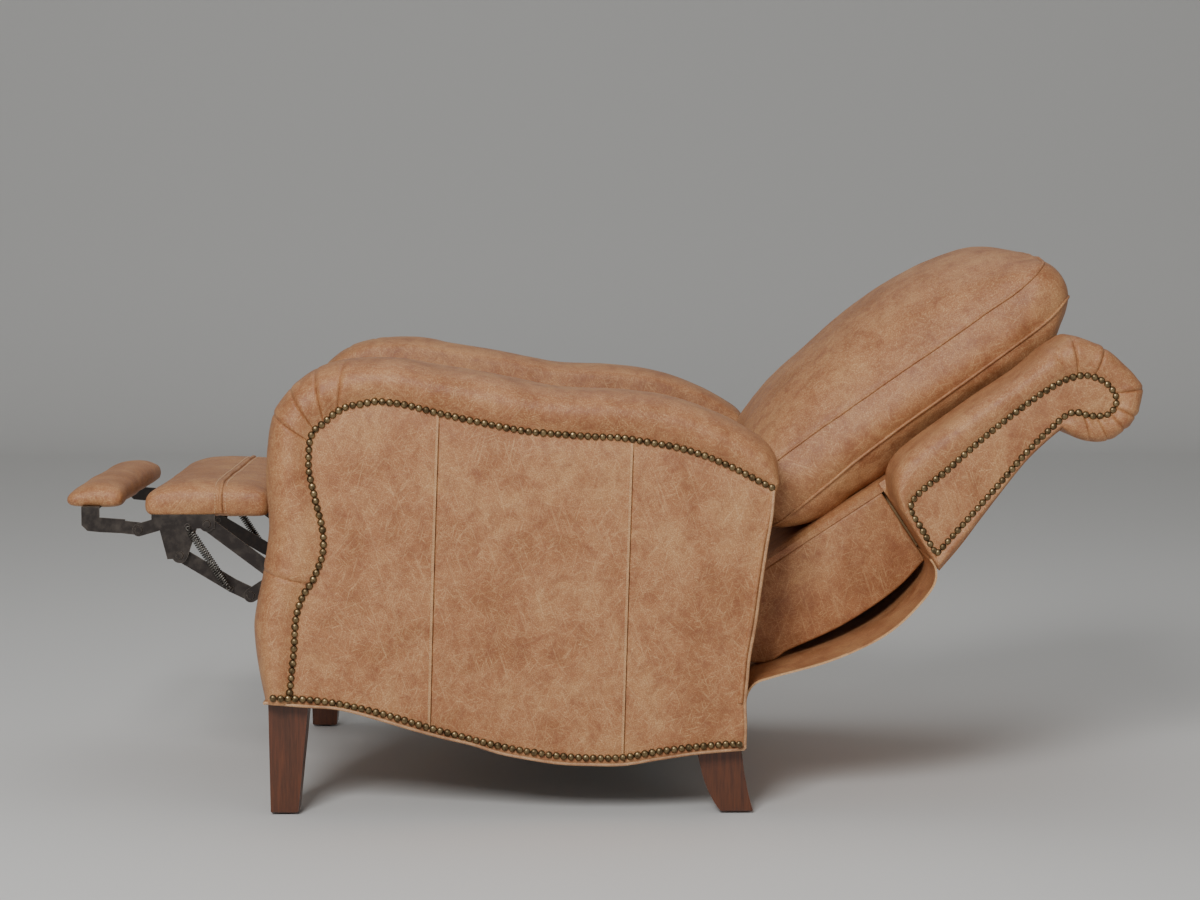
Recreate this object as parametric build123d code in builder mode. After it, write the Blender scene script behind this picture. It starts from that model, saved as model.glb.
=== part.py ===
"""Push-back recliner armchair, laid back with its footrest out. Millimetres, +Z up."""

from build123d import *
from math import atan2, cos, degrees, radians, sin
import os

os.makedirs("parts", exist_ok=True)

# ---------------------------------------------------------------- driving dimensions
# X runs across the chair, +X is the sitter's left. -Y is the front, Z is height.
seat_opening = 510.0  # clear width between the two arms
arm_thickness = 150.0
soft_gap = 5.0  # between a cushion and the arm beside it
seat_clearance = 0.3  # between two pieces that only lie on each other

# arm, in the side view
arm_front_y = -502.0
arm_bottom_z = 175.0
arm_top_z = 690.0
arm_rear_y = 221.0
arm_roll_radius = 38.0
frame_cover = 15.0  # padding on the inner side of the arm frame
panel_thickness = 23.0
panel_relief = 10.0  # roll stands this far outside the flat side panel
panel_edge_radius = 3.0
apron_drop = 94.0  # how far the side panel hangs below the arm

# legs
foot_z = 3.0  # thickness of the glide under each leg
leg_inset = 0.5
front_leg_top = 61.0
front_leg_foot = 42.0
rear_leg_width = 60.0
foot_chamfer = 2.0
glide_radius = 12.0
bolt_radius = 4.0
bolt_length = 80.0
bolt_in_leg = 40.0

# rails of the base
rail_thickness = 22.0
middle_rail_top_z = 226.0
rear_rail_top_z = 214.0
middle_rail_y = -200.0
rear_rail_bottom_z = 105.0
rear_rail_y = 223.2  # rear face of the rear rail
dust_cover_thickness = 1.5

# steel mechanism: plates lie side by side in layers, counted inwards from the arm
plate = 3.0
plate_gap = 0.5
rivet_radius = 4.0
rivet_play = 0.06
pin_end = 0.2  # a pin runs this far past its plate, or stops this far short
head_radius = 6.5
head_height = 2.2
link_half_width = 11.0
bar_half_width = 12.0

# pivots of the footrest linkage with the footrest out, as (Y, Z)
main_pivot = (-341.0, 330.0)  # main link on the seat plate
rear_pivot = (-313.0, 315.0)  # rear control link on the seat plate
knee_pivot = (-495.4, 347.2)  # main link crosses the upper link
toe_pivot = (-539.0, 319.0)  # main link meets the lower link
heel_pivot = (-649.0, 382.0)  # lower link on the footrest bracket
sole_pivot = (-606.0, 431.0)  # upper link on the footrest bracket
tail_pivot = (-467.5, 326.1)  # rear control link on the upper link
flip_pivot = (-712.0, 422.0)  # flip-out pad on the footrest bracket
spring_foot = (-571.0, 329.0)  # tension spring on the lower link
spring_head = (-636.0, 428.0)  # tension spring on the footrest bracket
coil_radius = 4.2
sole_play = 3.6  # the open pivots need room to wander
tail_play = 2.5

# the seat hangs from four points: two swing links and the two back brackets
recline_pivot = (226.0, 312.0)  # back bracket on the base plate
swing_top = (-130.0, 336.0)  # swing link on the base plate
swing_step = (-20.0, -52.0)  # from an upper pivot to the seat pivot it carries
seat_flange_z = 348.0
seat_flange_width = 43.0
seat_frame_height = 35.0
seat_front_y = -490.0
seat_rear_y = 150.0
seat_front_half = 230.0
seat_rail = 25.0
seat_notch_y = -300.0
deck_thickness = 3.0
seat_cushion_front_y = -495.0
seat_cushion_rear_y = 6.0
seat_boxing = 92.0
seat_crown = 15.0
spring_wire = 3.6
cross_tube_size = 20.0
cross_tube_y = -120.0

# back, drawn in its own frame: u runs up the back, v out of its front face
back_corner = (255.0, 262.0)  # where u and v start
back_slope = 33.4  # degrees above level with the chair laid back
board_thickness = 23.0
board_top_v = 77.0
back_front_v = 93.0
scroll_tip = (682.95, 10)
wing_inner = 252.0  # the wings stand forward on both sides of the cushion
upper_back_u = 280.0
upper_back_half = 376.0
back_panel_thickness = 6.0
outside_back_thickness = 6.0
back_cushion_u = (95.0, 687.0)
back_cushion_v = (150.0, 222.0)
back_cushion_top_v = 328.0
cushion_swell = 3.4  # the underside bulges this far past its last section

# flap of leather that closes the gap behind the seat
flap_thickness = 3.0
flap_half = 370.0

# footrest and flip-out pad
pad_front_y = -696.0
pad_rear_y = -512.0
pad_half = 248.0
board_under_pad = 12.0
pad_flange_z = 446.0
pad_top_z = 490.0
flange_reach = 40.0
flip_front_y = -819.66
flip_rear_y = -743.0
flip_half = 218.0
flip_flange_z = 457.0
flip_board = 9.0
flip_top_z = 488.0

# ---------------------------------------------------------------- derived sizes
arm_inner = seat_opening / 2
arm_outer = arm_inner + arm_thickness
panel_outer = arm_outer - panel_relief
panel_inner = panel_outer - panel_thickness
frame_inner = arm_inner + frame_cover
base_plate_inner = arm_inner - plate
cushion_half = arm_inner - soft_gap
deck_z = seat_flange_z + seat_frame_height
cushion_z = deck_z + deck_thickness
board_outer = arm_inner - 3 * (plate + plate_gap)
board_inner = board_outer - board_thickness


def layer(number):
    """Inner face of a plate, counted inwards from the base plate."""
    return base_plate_inner - (number + 1) * (plate + plate_gap)


spring_x = layer(2) + plate + head_height + 0.4 + coil_radius
spring_post_x = spring_x - coil_radius - seat_clearance


def side(x):
    """Sketch plane in the side view, at this distance from the middle."""
    return Plane.YZ.offset(x)


def back_side(x):
    """Sketch plane of the laid-back back: local x is u, local y is v."""
    slope = radians(back_slope)
    return Plane(origin=(x, *back_corner), x_dir=(0, cos(slope), sin(slope)), z_dir=(1, 0, 0))


def on_back(u, v):
    """A point of the laid-back back, as (Y, Z) in the side view."""
    slope = radians(back_slope)
    across = back_corner[0] + u * cos(slope) - v * sin(slope)
    up = back_corner[1] + u * sin(slope) + v * cos(slope)
    return (across, up)


def below(pivot):
    """The seat pivot that hangs from an upper pivot."""
    return (pivot[0] + swing_step[0], pivot[1] + swing_step[1])


def keep(piece, name):
    """Label a finished piece and write it."""
    piece.part.label = name
    export_step(piece.part, f"parts/{name}.step")


def keep_pair(piece, name):
    """Write a left-hand piece and its mirrored right-hand twin."""
    keep(piece, name + "_left")
    with BuildPart() as twin:
        mirror(piece.part, about=Plane.YZ)
    keep(twin, name + "_right")


def bar(points, half_width):
    """Flat bar with round ends through a row of points."""
    for start, end in zip(points, points[1:]):
        run = Vector(*end) - Vector(*start)
        middle = (Vector(*end) + Vector(*start)) / 2
        with Locations((middle.X, middle.Y)):
            Rectangle(run.length, 2 * half_width, rotation=degrees(atan2(run.Y, run.X)))
    with Locations(*points):
        Circle(half_width)


def plate_holes(number, points, radius):
    """Round holes through the plate of a layer."""
    with BuildSketch(side(layer(number))) as holes:
        with Locations(*points):
            Circle(radius)
    extrude(holes.sketch, amount=plate, mode=Mode.SUBTRACT)


def pins(x_from, x_to, points, radius=rivet_radius):
    """Round pins between two X positions."""
    with BuildSketch(side(min(x_from, x_to))) as discs:
        with Locations(*points):
            Circle(radius)
    extrude(discs.sketch, amount=abs(x_to - x_from))


def heads(x, outward, points):
    """Domed rivet heads on a face at x; outward is +1 or -1 along X."""
    with BuildSketch(side(x)) as discs:
        with Locations(*points):
            Circle(head_radius)
    extrude(discs.sketch, amount=outward * head_height, taper=30)


def cushion_shape(plane, half_width, start, end, boxing, crown, belly, corner=38.0):
    """Box cushion: straight boxing, crowned on top and, where belly is set, underneath."""
    middle, length = (start + end) / 2, end - start

    def outline(height, across, along):
        with BuildSketch(plane.offset(height)) as section:
            with Locations((0, middle)):
                RectangleRounded(2 * half_width * across, length * along, corner * across)
        return section.sketch

    extrude(outline(0, 1, 1), amount=boxing)
    steps = ((1, 1, 0), (0.86, 0.92, 0.42), (0.66, 0.68, 0.78), (0.3, 0.26, 1))
    loft([outline(boxing + rise * crown, across, along) for across, along, rise in steps])
    if belly:
        loft([outline(0, 1, 1), outline(-0.72 * belly, 0.84, 0.84), outline(-belly, 0.5, 0.5)])


# ---------------------------------------------------------------- arms
arm_crown = [
    (arm_front_y, arm_bottom_z),
    (-516, 300),
    (-503, 385),
    (-497, 500),
    (-488, 609),
    (-426, 673),
    (-300, arm_top_z),
    (-178, 669),
    (49, 641),
    (186, 605),
    (255, 567),
    (274, 510),
    (253, 410),
    (229, 260),
    (arm_rear_y, arm_bottom_z),
]
frame_corners = [
    (-478, arm_bottom_z),
    (-478, 590),
    (-420, 640),
    (-300, 652),
    (40, 604),
    (180, 566),
    (228, 505),
    (200, arm_bottom_z),
]
panel_crown = [
    (-466, arm_bottom_z),
    (-455, 300),
    (-431, 361),
    (-412, 422),
    (-433, 551),
    (-395, 614),
    (-311, 631),
    (-65, 584),
    (76, 571),
    (162, 550),
    (262, 500),
]
panel_rear = [(262, 500), (244, 348), (228, 244), (219, 105)]
panel_apron = [
    (219, 105),
    (89, 90),
    (0, arm_bottom_z - apron_drop),
    (-58, 84),
    (-192, 114),
    (-281, 137),
    (-364, 162),
    (-466, arm_bottom_z),
]
front_bolt = (arm_inner + 86.0, -470.0)
rear_bolt = (arm_inner + 86.0, 184.0)

with BuildPart() as arm_frame:
    with BuildSketch(side(frame_inner)):
        with BuildLine():
            Polyline(*frame_corners, close=True)
        make_face()
    extrude(amount=panel_inner - frame_inner)
    with Locations((*front_bolt, arm_bottom_z), (*rear_bolt, arm_bottom_z)):
        Cylinder(
            bolt_radius,
            bolt_length - bolt_in_leg,
            align=(Align.CENTER, Align.CENTER, Align.MIN),
            mode=Mode.SUBTRACT,
        )
keep_pair(arm_frame, "arm_frame")

with BuildPart() as side_panel:
    with BuildSketch(side(panel_inner)):
        with BuildLine():
            Spline(*panel_crown)
            Spline(*panel_rear)
            Spline(*panel_apron)
        make_face()
    extrude(amount=panel_thickness)
    chamfer(side_panel.faces().sort_by(Axis.X)[-1].edges(), length=panel_edge_radius)
keep_pair(side_panel, "side_panel")

with BuildPart() as arm_padding:
    with BuildSketch(side(arm_inner)):
        with BuildLine():
            Spline(*arm_crown)
            Line(arm_crown[-1], arm_crown[0])
        make_face()
    extrude(amount=arm_thickness)
    crown_edges = arm_padding.edges().filter_by(GeomType.BSPLINE).sort_by(Edge.length)[-2:]
    fillet(crown_edges, radius=arm_roll_radius)
    with BuildSketch(side(panel_inner)):
        with BuildLine():
            Spline(*panel_crown)
            Spline(*panel_rear)
            Polyline(panel_rear[-1], (panel_rear[-1][0], 60), (-466, 60), panel_crown[0])
        make_face()
    extrude(amount=arm_thickness, mode=Mode.SUBTRACT)
    add(arm_frame.part, mode=Mode.SUBTRACT)
    with Locations((*front_bolt, arm_bottom_z), (*rear_bolt, arm_bottom_z)):
        Cylinder(
            bolt_radius,
            bolt_length - bolt_in_leg,
            align=(Align.CENTER, Align.CENTER, Align.MIN),
            mode=Mode.SUBTRACT,
        )
keep_pair(arm_padding, "arm_padding")

# ---------------------------------------------------------------- legs
leg_outer = panel_inner - leg_inset

with BuildPart() as front_leg:
    with BuildSketch(Plane.XY.offset(arm_bottom_z)):
        with Locations((leg_outer - front_leg_top / 2, arm_front_y + 2 + front_leg_top / 2)):
            Rectangle(front_leg_top, front_leg_top)
    with BuildSketch(Plane.XY.offset(foot_z)):
        with Locations((leg_outer - front_leg_foot / 2, arm_front_y + 4 + front_leg_foot / 2)):
            Rectangle(front_leg_foot, front_leg_foot)
    loft()
    chamfer(front_leg.faces().sort_by(Axis.Z)[0].edges(), length=foot_chamfer)
    with Locations((*front_bolt, arm_bottom_z - bolt_in_leg)):
        Cylinder(
            bolt_radius,
            bolt_in_leg,
            align=(Align.CENTER, Align.CENTER, Align.MIN),
            mode=Mode.SUBTRACT,
        )
keep_pair(front_leg, "front_leg")

with BuildPart() as rear_leg:
    with BuildSketch(side(leg_outer - rear_leg_width)):
        with BuildLine():
            Line((148, arm_bottom_z), (219, arm_bottom_z))
            Spline((219, arm_bottom_z), (220, 90), (226, 48), (237, foot_z))
            Line((237, foot_z), (188, foot_z))
            Spline((188, foot_z), (168, 36), (154, 85), (148, arm_bottom_z))
        make_face()
    extrude(amount=rear_leg_width)
    chamfer(rear_leg.faces().sort_by(Axis.Z)[0].edges(), length=foot_chamfer)
    with Locations((*rear_bolt, arm_bottom_z - bolt_in_leg)):
        Cylinder(
            bolt_radius,
            bolt_in_leg,
            align=(Align.CENTER, Align.CENTER, Align.MIN),
            mode=Mode.SUBTRACT,
        )
keep_pair(rear_leg, "rear_leg")

front_foot = (leg_outer - front_leg_foot / 2, arm_front_y + 4 + front_leg_foot / 2)
rear_foot = (leg_outer - rear_leg_width / 2, 212.5)

with BuildPart() as leg_glides:
    for x_side in (-1, 1):
        for x, y in (front_foot, rear_foot):
            with Locations((x_side * x, y, 0)):
                Cylinder(glide_radius, foot_z, align=(Align.CENTER, Align.CENTER, Align.MIN))
keep(leg_glides, "leg_glides")

with BuildPart() as leg_bolts:
    for x_side in (-1, 1):
        for x, y in (front_bolt, rear_bolt):
            with Locations((x_side * x, y, arm_bottom_z - bolt_in_leg)):
                Cylinder(bolt_radius, bolt_length, align=(Align.CENTER, Align.CENTER, Align.MIN))
keep(leg_bolts, "leg_bolts")

# ---------------------------------------------------------------- rails and dust cover
with BuildPart() as middle_rail:
    with BuildSketch(Plane.XY.offset(arm_bottom_z)):
        with Locations((0, middle_rail_y + rail_thickness / 2)):
            Rectangle(seat_opening, rail_thickness)
    extrude(amount=middle_rail_top_z - arm_bottom_z)
keep(middle_rail, "middle_rail")

with BuildPart() as rear_rail:
    with BuildSketch(Plane.XY.offset(rear_rail_bottom_z)):
        with Locations((0, rear_rail_y - rail_thickness / 2)):
            Rectangle(seat_opening, rail_thickness)
    extrude(amount=rear_rail_top_z - rear_rail_bottom_z)
keep(rear_rail, "rear_rail")

dust_rear_y = rear_rail_y - rail_thickness
with BuildPart() as dust_cover:
    with BuildSketch(Plane.XY.offset(arm_bottom_z - dust_cover_thickness)):
        with Locations((0, (middle_rail_y + dust_rear_y) / 2)):
            Rectangle(seat_opening - 2 * soft_gap, dust_rear_y - middle_rail_y)
    extrude(amount=dust_cover_thickness)
keep(dust_cover, "dust_cover")

# ---------------------------------------------------------------- base plates
with BuildPart() as base_plate:
    with BuildSketch(side(base_plate_inner)):
        bar([swing_top, recline_pivot], bar_half_width)
    extrude(amount=plate)
    pins(layer(0) + pin_end, base_plate_inner, [swing_top])
    pins(layer(2) + pin_end, base_plate_inner, [recline_pivot])
keep_pair(base_plate, "base_plate")

# ---------------------------------------------------------------- seat
with BuildPart() as swing_link:
    with BuildSketch(side(layer(0))):
        bar([swing_top, below(swing_top)], link_half_width)
    extrude(amount=plate)
    plate_holes(0, [swing_top], rivet_radius + rivet_play)
    pins(layer(1) - pin_end, layer(0), [below(swing_top)])
    heads(layer(1) - pin_end, -1, [below(swing_top)])
keep_pair(swing_link, "swing_link")

seat_bar_z = seat_flange_z - bar_half_width
seat_bar = [main_pivot, (-300, seat_bar_z), (120, seat_bar_z), (132, 275), below(recline_pivot)]
with BuildPart() as seat_plate:
    with BuildSketch(side(layer(1))):
        bar(seat_bar, bar_half_width)
        bar([(-300, seat_bar_z), rear_pivot], bar_half_width)
        bar([(below(swing_top)[0], seat_bar_z), below(swing_top)], bar_half_width)
    extrude(amount=plate)
    with BuildSketch(Plane.XY.offset(seat_flange_z - plate)):
        with Locations((layer(1) + plate - seat_flange_width / 2, (seat_notch_y + 130) / 2)):
            Rectangle(seat_flange_width, 130 - seat_notch_y)
    extrude(amount=plate)
    plate_holes(1, [below(swing_top), below(recline_pivot)], rivet_radius + rivet_play)
    pins(layer(2) - pin_end, layer(1), [main_pivot])
    heads(layer(2) - pin_end, -1, [main_pivot])
    pins(layer(4) - pin_end, layer(1), [rear_pivot])
    heads(layer(4) - pin_end, -1, [rear_pivot])
keep_pair(seat_plate, "seat_plate")

with BuildPart() as cross_tube:
    with BuildSketch(side(-layer(1))):
        with Locations((cross_tube_y, seat_flange_z - plate - 3 - cross_tube_size / 2)):
            Rectangle(cross_tube_size, cross_tube_size)
            Rectangle(cross_tube_size - plate, cross_tube_size - plate, mode=Mode.SUBTRACT)
    extrude(amount=2 * layer(1))
keep(cross_tube, "cross_tube")

frame_half = layer(1)
with BuildPart() as seat_frame:
    with BuildSketch(Plane.XY.offset(seat_flange_z)):
        with BuildLine():
            Polyline(
                (-seat_front_half, seat_front_y),
                (seat_front_half, seat_front_y),
                (seat_front_half, seat_notch_y),
                (frame_half, seat_notch_y),
                (frame_half, seat_rear_y),
                (-frame_half, seat_rear_y),
                (-frame_half, seat_notch_y),
                (-seat_front_half, seat_notch_y),
                close=True,
            )
        make_face()
        with Locations((0, (seat_front_y + seat_rear_y) / 2)):
            Rectangle(
                2 * (seat_front_half - seat_rail),
                seat_rear_y - seat_front_y - 2 * seat_rail,
                mode=Mode.SUBTRACT,
            )
    extrude(amount=seat_frame_height)
keep(seat_frame, "seat_frame")

spring_count = 5
spring_spacing = 75.0
spring_swing = 24.0
spring_turns = 20
spring_start = seat_front_y + seat_rail
spring_end = seat_rear_y - seat_rail
with BuildPart() as seat_springs:
    for number in range(spring_count):
        middle = (number - (spring_count - 1) / 2) * spring_spacing
        step = (spring_end - spring_start) / spring_turns
        zigzag = [(middle, spring_start)]
        for turn in range(1, spring_turns):
            swing = spring_swing if turn % 2 else -spring_swing
            zigzag.append((middle + swing, spring_start + turn * step))
        zigzag.append((middle, spring_end))
        with BuildSketch(Plane.XY.offset(deck_z - spring_wire)):
            with BuildLine():
                Polyline(*zigzag)
            trace(line_width=spring_wire)
            with Locations((middle, (spring_start + spring_end) / 2)):
                Rectangle(4 * spring_swing, spring_end - spring_start, mode=Mode.INTERSECT)
        extrude(amount=spring_wire)
keep(seat_springs, "seat_springs")

with BuildPart() as seat_deck:
    with BuildSketch(Plane.XY.offset(deck_z)):
        with Locations((0, (seat_front_y + seat_rear_y) / 2)):
            Rectangle(2 * seat_front_half, seat_rear_y - seat_front_y)
    extrude(amount=deck_thickness)
keep(seat_deck, "seat_deck")

with BuildPart() as seat_cushion:
    cushion_shape(
        Plane.XY.offset(cushion_z + seat_clearance),
        cushion_half,
        seat_cushion_front_y,
        seat_cushion_rear_y,
        seat_boxing,
        seat_crown,
        0,
    )
keep(seat_cushion, "seat_cushion")

# ---------------------------------------------------------------- back
stile_outline = [(15, -30), (15, 40), (60, 72), (556, 72), (556, 44), (270, -30)]
stile_outer = board_inner
stile_inner = stile_outer - rail_thickness

with BuildPart() as back_frame:
    with BuildSketch(back_side(stile_inner), back_side(-stile_outer)):
        with BuildLine():
            Polyline(*stile_outline, close=True)
        make_face()
    extrude(amount=rail_thickness)
    with BuildSketch(back_side(-stile_outer)):
        for centre, size in (((35, 5), (30, 50)), ((305, 25), (34, 60)), ((536, 58), (30, 26))):
            with Locations(centre):
                Rectangle(*size)
    extrude(amount=2 * stile_outer)
keep(back_frame, "back_frame")

board_end = 51.7
bracket_line = [below(recline_pivot), recline_pivot, on_back(80, 30), on_back(200, 0)]
with BuildPart() as lower_board:
    with BuildSketch(back_side(board_inner)):
        with BuildLine():
            Spline((270, -50), (218, -63), (114, -65), (13, -50))
            ThreePointArc((13, -50), (-board_end, 0), (-18, 48.5))
            Line((-18, 48.5), (40, board_top_v))
            Line((40, board_top_v), (270, board_top_v))
            Line((270, board_top_v), (270, -50))
        make_face()
    extrude(amount=board_thickness)
    with BuildSketch(side(layer(2))):
        bar(bracket_line, bar_half_width)
    extrude(amount=plate, mode=Mode.SUBTRACT)
keep_pair(lower_board, "lower_board")

rear_line = [(upper_back_u, -50), (324, -37), (418, -3), (482, 18), (548, 29)]
scroll_rear = [(548, 29), (556, 13), (578, -14), (601, -26), (632, -26), (667, -8), scroll_tip]
scroll_middle = [scroll_tip, (679, 45), (666, 74), (640, back_front_v - 1), (600, back_front_v - 1)]
scroll_wing = [scroll_tip, (679, 59), (666, 104), (641, 134), (612, 137.5)]
wing_front = [(612, 137.5), (551, 131), (489, 130), (424, 128), (346, 125), (upper_back_u, 116)]

with BuildPart() as inside_back:
    with BuildSketch(back_side(-board_outer)):
        with Locations((315, (board_top_v + back_front_v) / 2)):
            Rectangle(550, back_front_v - board_top_v)
    extrude(amount=2 * board_outer)
keep(inside_back, "inside_back")

with BuildPart() as outside_back:
    with BuildSketch(back_side(-upper_back_half)):
        with BuildLine():
            Spline(*rear_line)
            Spline(*[(u, v + outside_back_thickness) for u, v in rear_line])
            Line(rear_line[0], (rear_line[0][0], rear_line[0][1] + outside_back_thickness))
            Line(rear_line[-1], (rear_line[-1][0], rear_line[-1][1] + outside_back_thickness))
        make_face()
    extrude(amount=2 * upper_back_half)
keep(outside_back, "outside_back")

with BuildPart() as back_body:
    with BuildSketch(back_side(-upper_back_half)):
        with BuildLine():
            Spline(*rear_line)
            Spline(*scroll_rear)
            Spline(*scroll_middle)
            Line(scroll_middle[-1], (upper_back_u, back_front_v - 1))
            Line((upper_back_u, back_front_v - 1), rear_line[0])
        make_face()
    extrude(amount=2 * upper_back_half)
    for inner_face in (wing_inner, -upper_back_half):
        with BuildSketch(back_side(inner_face)) as wing:
            with BuildLine():
                Spline(*rear_line)
                Spline(*scroll_rear)
                Spline(*scroll_wing)
                Spline(*wing_front)
                Line(wing_front[-1], rear_line[0])
            make_face()
        extrude(wing.sketch, amount=upper_back_half - wing_inner)
    add(outside_back.part, mode=Mode.SUBTRACT)
    add(inside_back.part, mode=Mode.SUBTRACT)
    add(back_frame.part, mode=Mode.SUBTRACT)
keep(back_body, "back_body")

back_panel_line = [
    (295, 60),
    (411, 78),
    (503, 91),
    (565, 92),
    (624, 76),
    (641, 42),
    (630, 14),
    (610, 12),
    (590, 30),
    (570, 44),
    (540, 41),
    (479, 28),
    (339, -11),
    (287, -29),
]
with BuildPart() as back_panel:
    with BuildSketch(back_side(upper_back_half)):
        with BuildLine():
            Spline(*back_panel_line)
            Line(back_panel_line[-1], back_panel_line[0])
        make_face()
    extrude(amount=back_panel_thickness)
keep_pair(back_panel, "back_panel")

with BuildPart() as back_cushion:
    slope = radians(back_slope)
    cushion_plane = Plane(
        origin=(0, *back_corner),
        x_dir=(-1, 0, 0),
        z_dir=(0, -sin(slope), cos(slope)),
    ).offset(back_cushion_v[0])
    cushion_shape(
        cushion_plane,
        cushion_half - 2,
        -back_cushion_u[1],
        -back_cushion_u[0],
        back_cushion_v[1] - back_cushion_v[0],
        back_cushion_top_v - back_cushion_v[1],
        back_cushion_v[0] - back_front_v - cushion_swell,
    )
keep(back_cushion, "back_cushion")

with BuildPart() as back_bracket:
    with BuildSketch(side(layer(2))):
        bar(bracket_line, bar_half_width)
    extrude(amount=plate)
    plate_holes(2, [recline_pivot], rivet_radius + rivet_play)
    pins(layer(2) + plate, layer(1) + plate + pin_end, [below(recline_pivot)])
    heads(layer(1) + plate + pin_end, 1, [below(recline_pivot)])
keep_pair(back_bracket, "back_bracket")

# ---------------------------------------------------------------- flap
flap_top = [(upper_back_u - flap_thickness / 2, v) for v in (-30, -44)]
flap_line = [
    on_back(*flap_top[1]),
    on_back(264, -62),
    on_back(207, -78),
    on_back(158, -84),
    on_back(111, -80),
    on_back(64, -72),
    (262, 209),
    (240, 201),
    (229, 188),
    (225, 174),
]
with BuildPart() as back_flap:
    with BuildSketch(side(-flap_half)):
        with BuildLine():
            Line(on_back(*flap_top[0]), on_back(*flap_top[1]))
            Spline(*flap_line)
            Line(flap_line[-1], (225, rear_rail_bottom_z + 4))
        trace(line_width=flap_thickness)
    extrude(amount=2 * flap_half)
keep(back_flap, "back_flap")

# ---------------------------------------------------------------- footrest linkage
with BuildPart() as main_link:
    with BuildSketch(side(layer(2))):
        bar([main_pivot, knee_pivot, toe_pivot], link_half_width)
    extrude(amount=plate)
    plate_holes(2, [main_pivot], rivet_radius + rivet_play)
    pins(layer(3) - pin_end, layer(2), [knee_pivot])
    heads(layer(3) - pin_end, -1, [knee_pivot])
    pins(layer(5) + pin_end, layer(2), [toe_pivot])
    heads(layer(2) + plate, 1, [knee_pivot, toe_pivot])
keep_pair(main_link, "main_link")

with BuildPart() as lower_link:
    with BuildSketch(side(layer(5))):
        bar([heel_pivot, (-568, 333), toe_pivot], link_half_width)
    extrude(amount=plate)
    plate_holes(5, [heel_pivot, toe_pivot], rivet_radius + rivet_play)
    pins(layer(5) + plate, spring_post_x, [spring_foot])
keep_pair(lower_link, "lower_link")

with BuildPart() as upper_link:
    with BuildSketch(side(layer(3))):
        bar([sole_pivot, tail_pivot], link_half_width)
    extrude(amount=plate)
    plate_holes(3, [knee_pivot], rivet_radius + rivet_play)
    plate_holes(3, [sole_pivot], rivet_radius + sole_play)
    plate_holes(3, [tail_pivot], rivet_radius + tail_play)
keep_pair(upper_link, "upper_link")

with BuildPart() as rear_link:
    with BuildSketch(side(layer(4))):
        bar([rear_pivot, tail_pivot], link_half_width)
    extrude(amount=plate)
    plate_holes(4, [rear_pivot], rivet_radius + rivet_play)
    pins(layer(4) + plate, layer(3) + plate - 0.3, [tail_pivot])
keep_pair(rear_link, "rear_link")

with BuildPart() as footrest_bracket:
    with BuildSketch(side(layer(2))):
        with BuildLine():
            Polyline(
                (-692, pad_flange_z),
                (-594, pad_flange_z),
                (-594, 424),
                (-622, 424),
                (-637, 378),
                (-668, 376),
                (-680, 424),
                (-692, 430),
                close=True,
            )
        make_face()
        bar([heel_pivot], bar_half_width)
        bar([sole_pivot], bar_half_width)
        bar([(-684, 430), flip_pivot], 10)
    extrude(amount=plate)
    with BuildSketch(Plane.XY.offset(pad_flange_z - plate)):
        with Locations((layer(2) + plate - flange_reach / 2, -643)):
            Rectangle(flange_reach, 98)
    extrude(amount=plate)
    pins(layer(3) + pin_end, layer(2), [sole_pivot])
    pins(layer(2) + plate, spring_post_x, [spring_head])
    pins(layer(5) + pin_end, layer(2), [heel_pivot])
    pins(layer(6) - pin_end, layer(2), [flip_pivot])
    heads(layer(6) - pin_end, -1, [flip_pivot])
    heads(layer(2) + plate, 1, [heel_pivot, sole_pivot, flip_pivot])
keep_pair(footrest_bracket, "footrest_bracket")

with BuildPart() as footrest_board:
    with BuildSketch(Plane.XY.offset(pad_flange_z)):
        with Locations((0, (pad_front_y + pad_rear_y) / 2)):
            RectangleRounded(2 * pad_half - 16, pad_rear_y - pad_front_y - 16, 8)
    extrude(amount=board_under_pad)
keep(footrest_board, "footrest_board")

with BuildPart() as footrest_pad:
    cushion_shape(
        Plane.XY.offset(pad_flange_z + board_under_pad),
        pad_half,
        pad_front_y,
        pad_rear_y,
        18,
        pad_top_z - pad_flange_z - board_under_pad - 18,
        0,
        corner=16,
    )
keep(footrest_pad, "footrest_pad")

with BuildPart() as flip_bracket:
    with BuildSketch(side(layer(6))):
        bar([flip_pivot, (-738, 425)], 10)
        with BuildLine():
            Polyline(
                (-735, 415),
                (-735, 437),
                (-775, 440),
                (-775, flip_flange_z),
                (-803, flip_flange_z),
                (-803, 428),
                (-794, 419),
                (-775, 417),
                close=True,
            )
        make_face()
    extrude(amount=plate)
    plate_holes(6, [flip_pivot], rivet_radius + rivet_play)
    with BuildSketch(Plane.XY.offset(flip_flange_z - plate)):
        with Locations((layer(6) + plate - flange_reach / 2, -789)):
            Rectangle(flange_reach, 28)
    extrude(amount=plate)
keep_pair(flip_bracket, "flip_bracket")

with BuildPart() as flip_pad_board:
    with BuildSketch(Plane.XY.offset(flip_flange_z)):
        with Locations((0, (flip_front_y + flip_rear_y) / 2)):
            RectangleRounded(2 * flip_half - 12, flip_rear_y - flip_front_y - 12, 6)
    extrude(amount=flip_board)
keep(flip_pad_board, "flip_board")

with BuildPart() as flip_pad:
    cushion_shape(
        Plane.XY.offset(flip_flange_z + flip_board),
        flip_half,
        flip_front_y,
        flip_rear_y,
        12,
        flip_top_z - flip_flange_z - flip_board - 12,
        0,
        corner=16,
    )
keep(flip_pad, "flip_pad")

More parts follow.
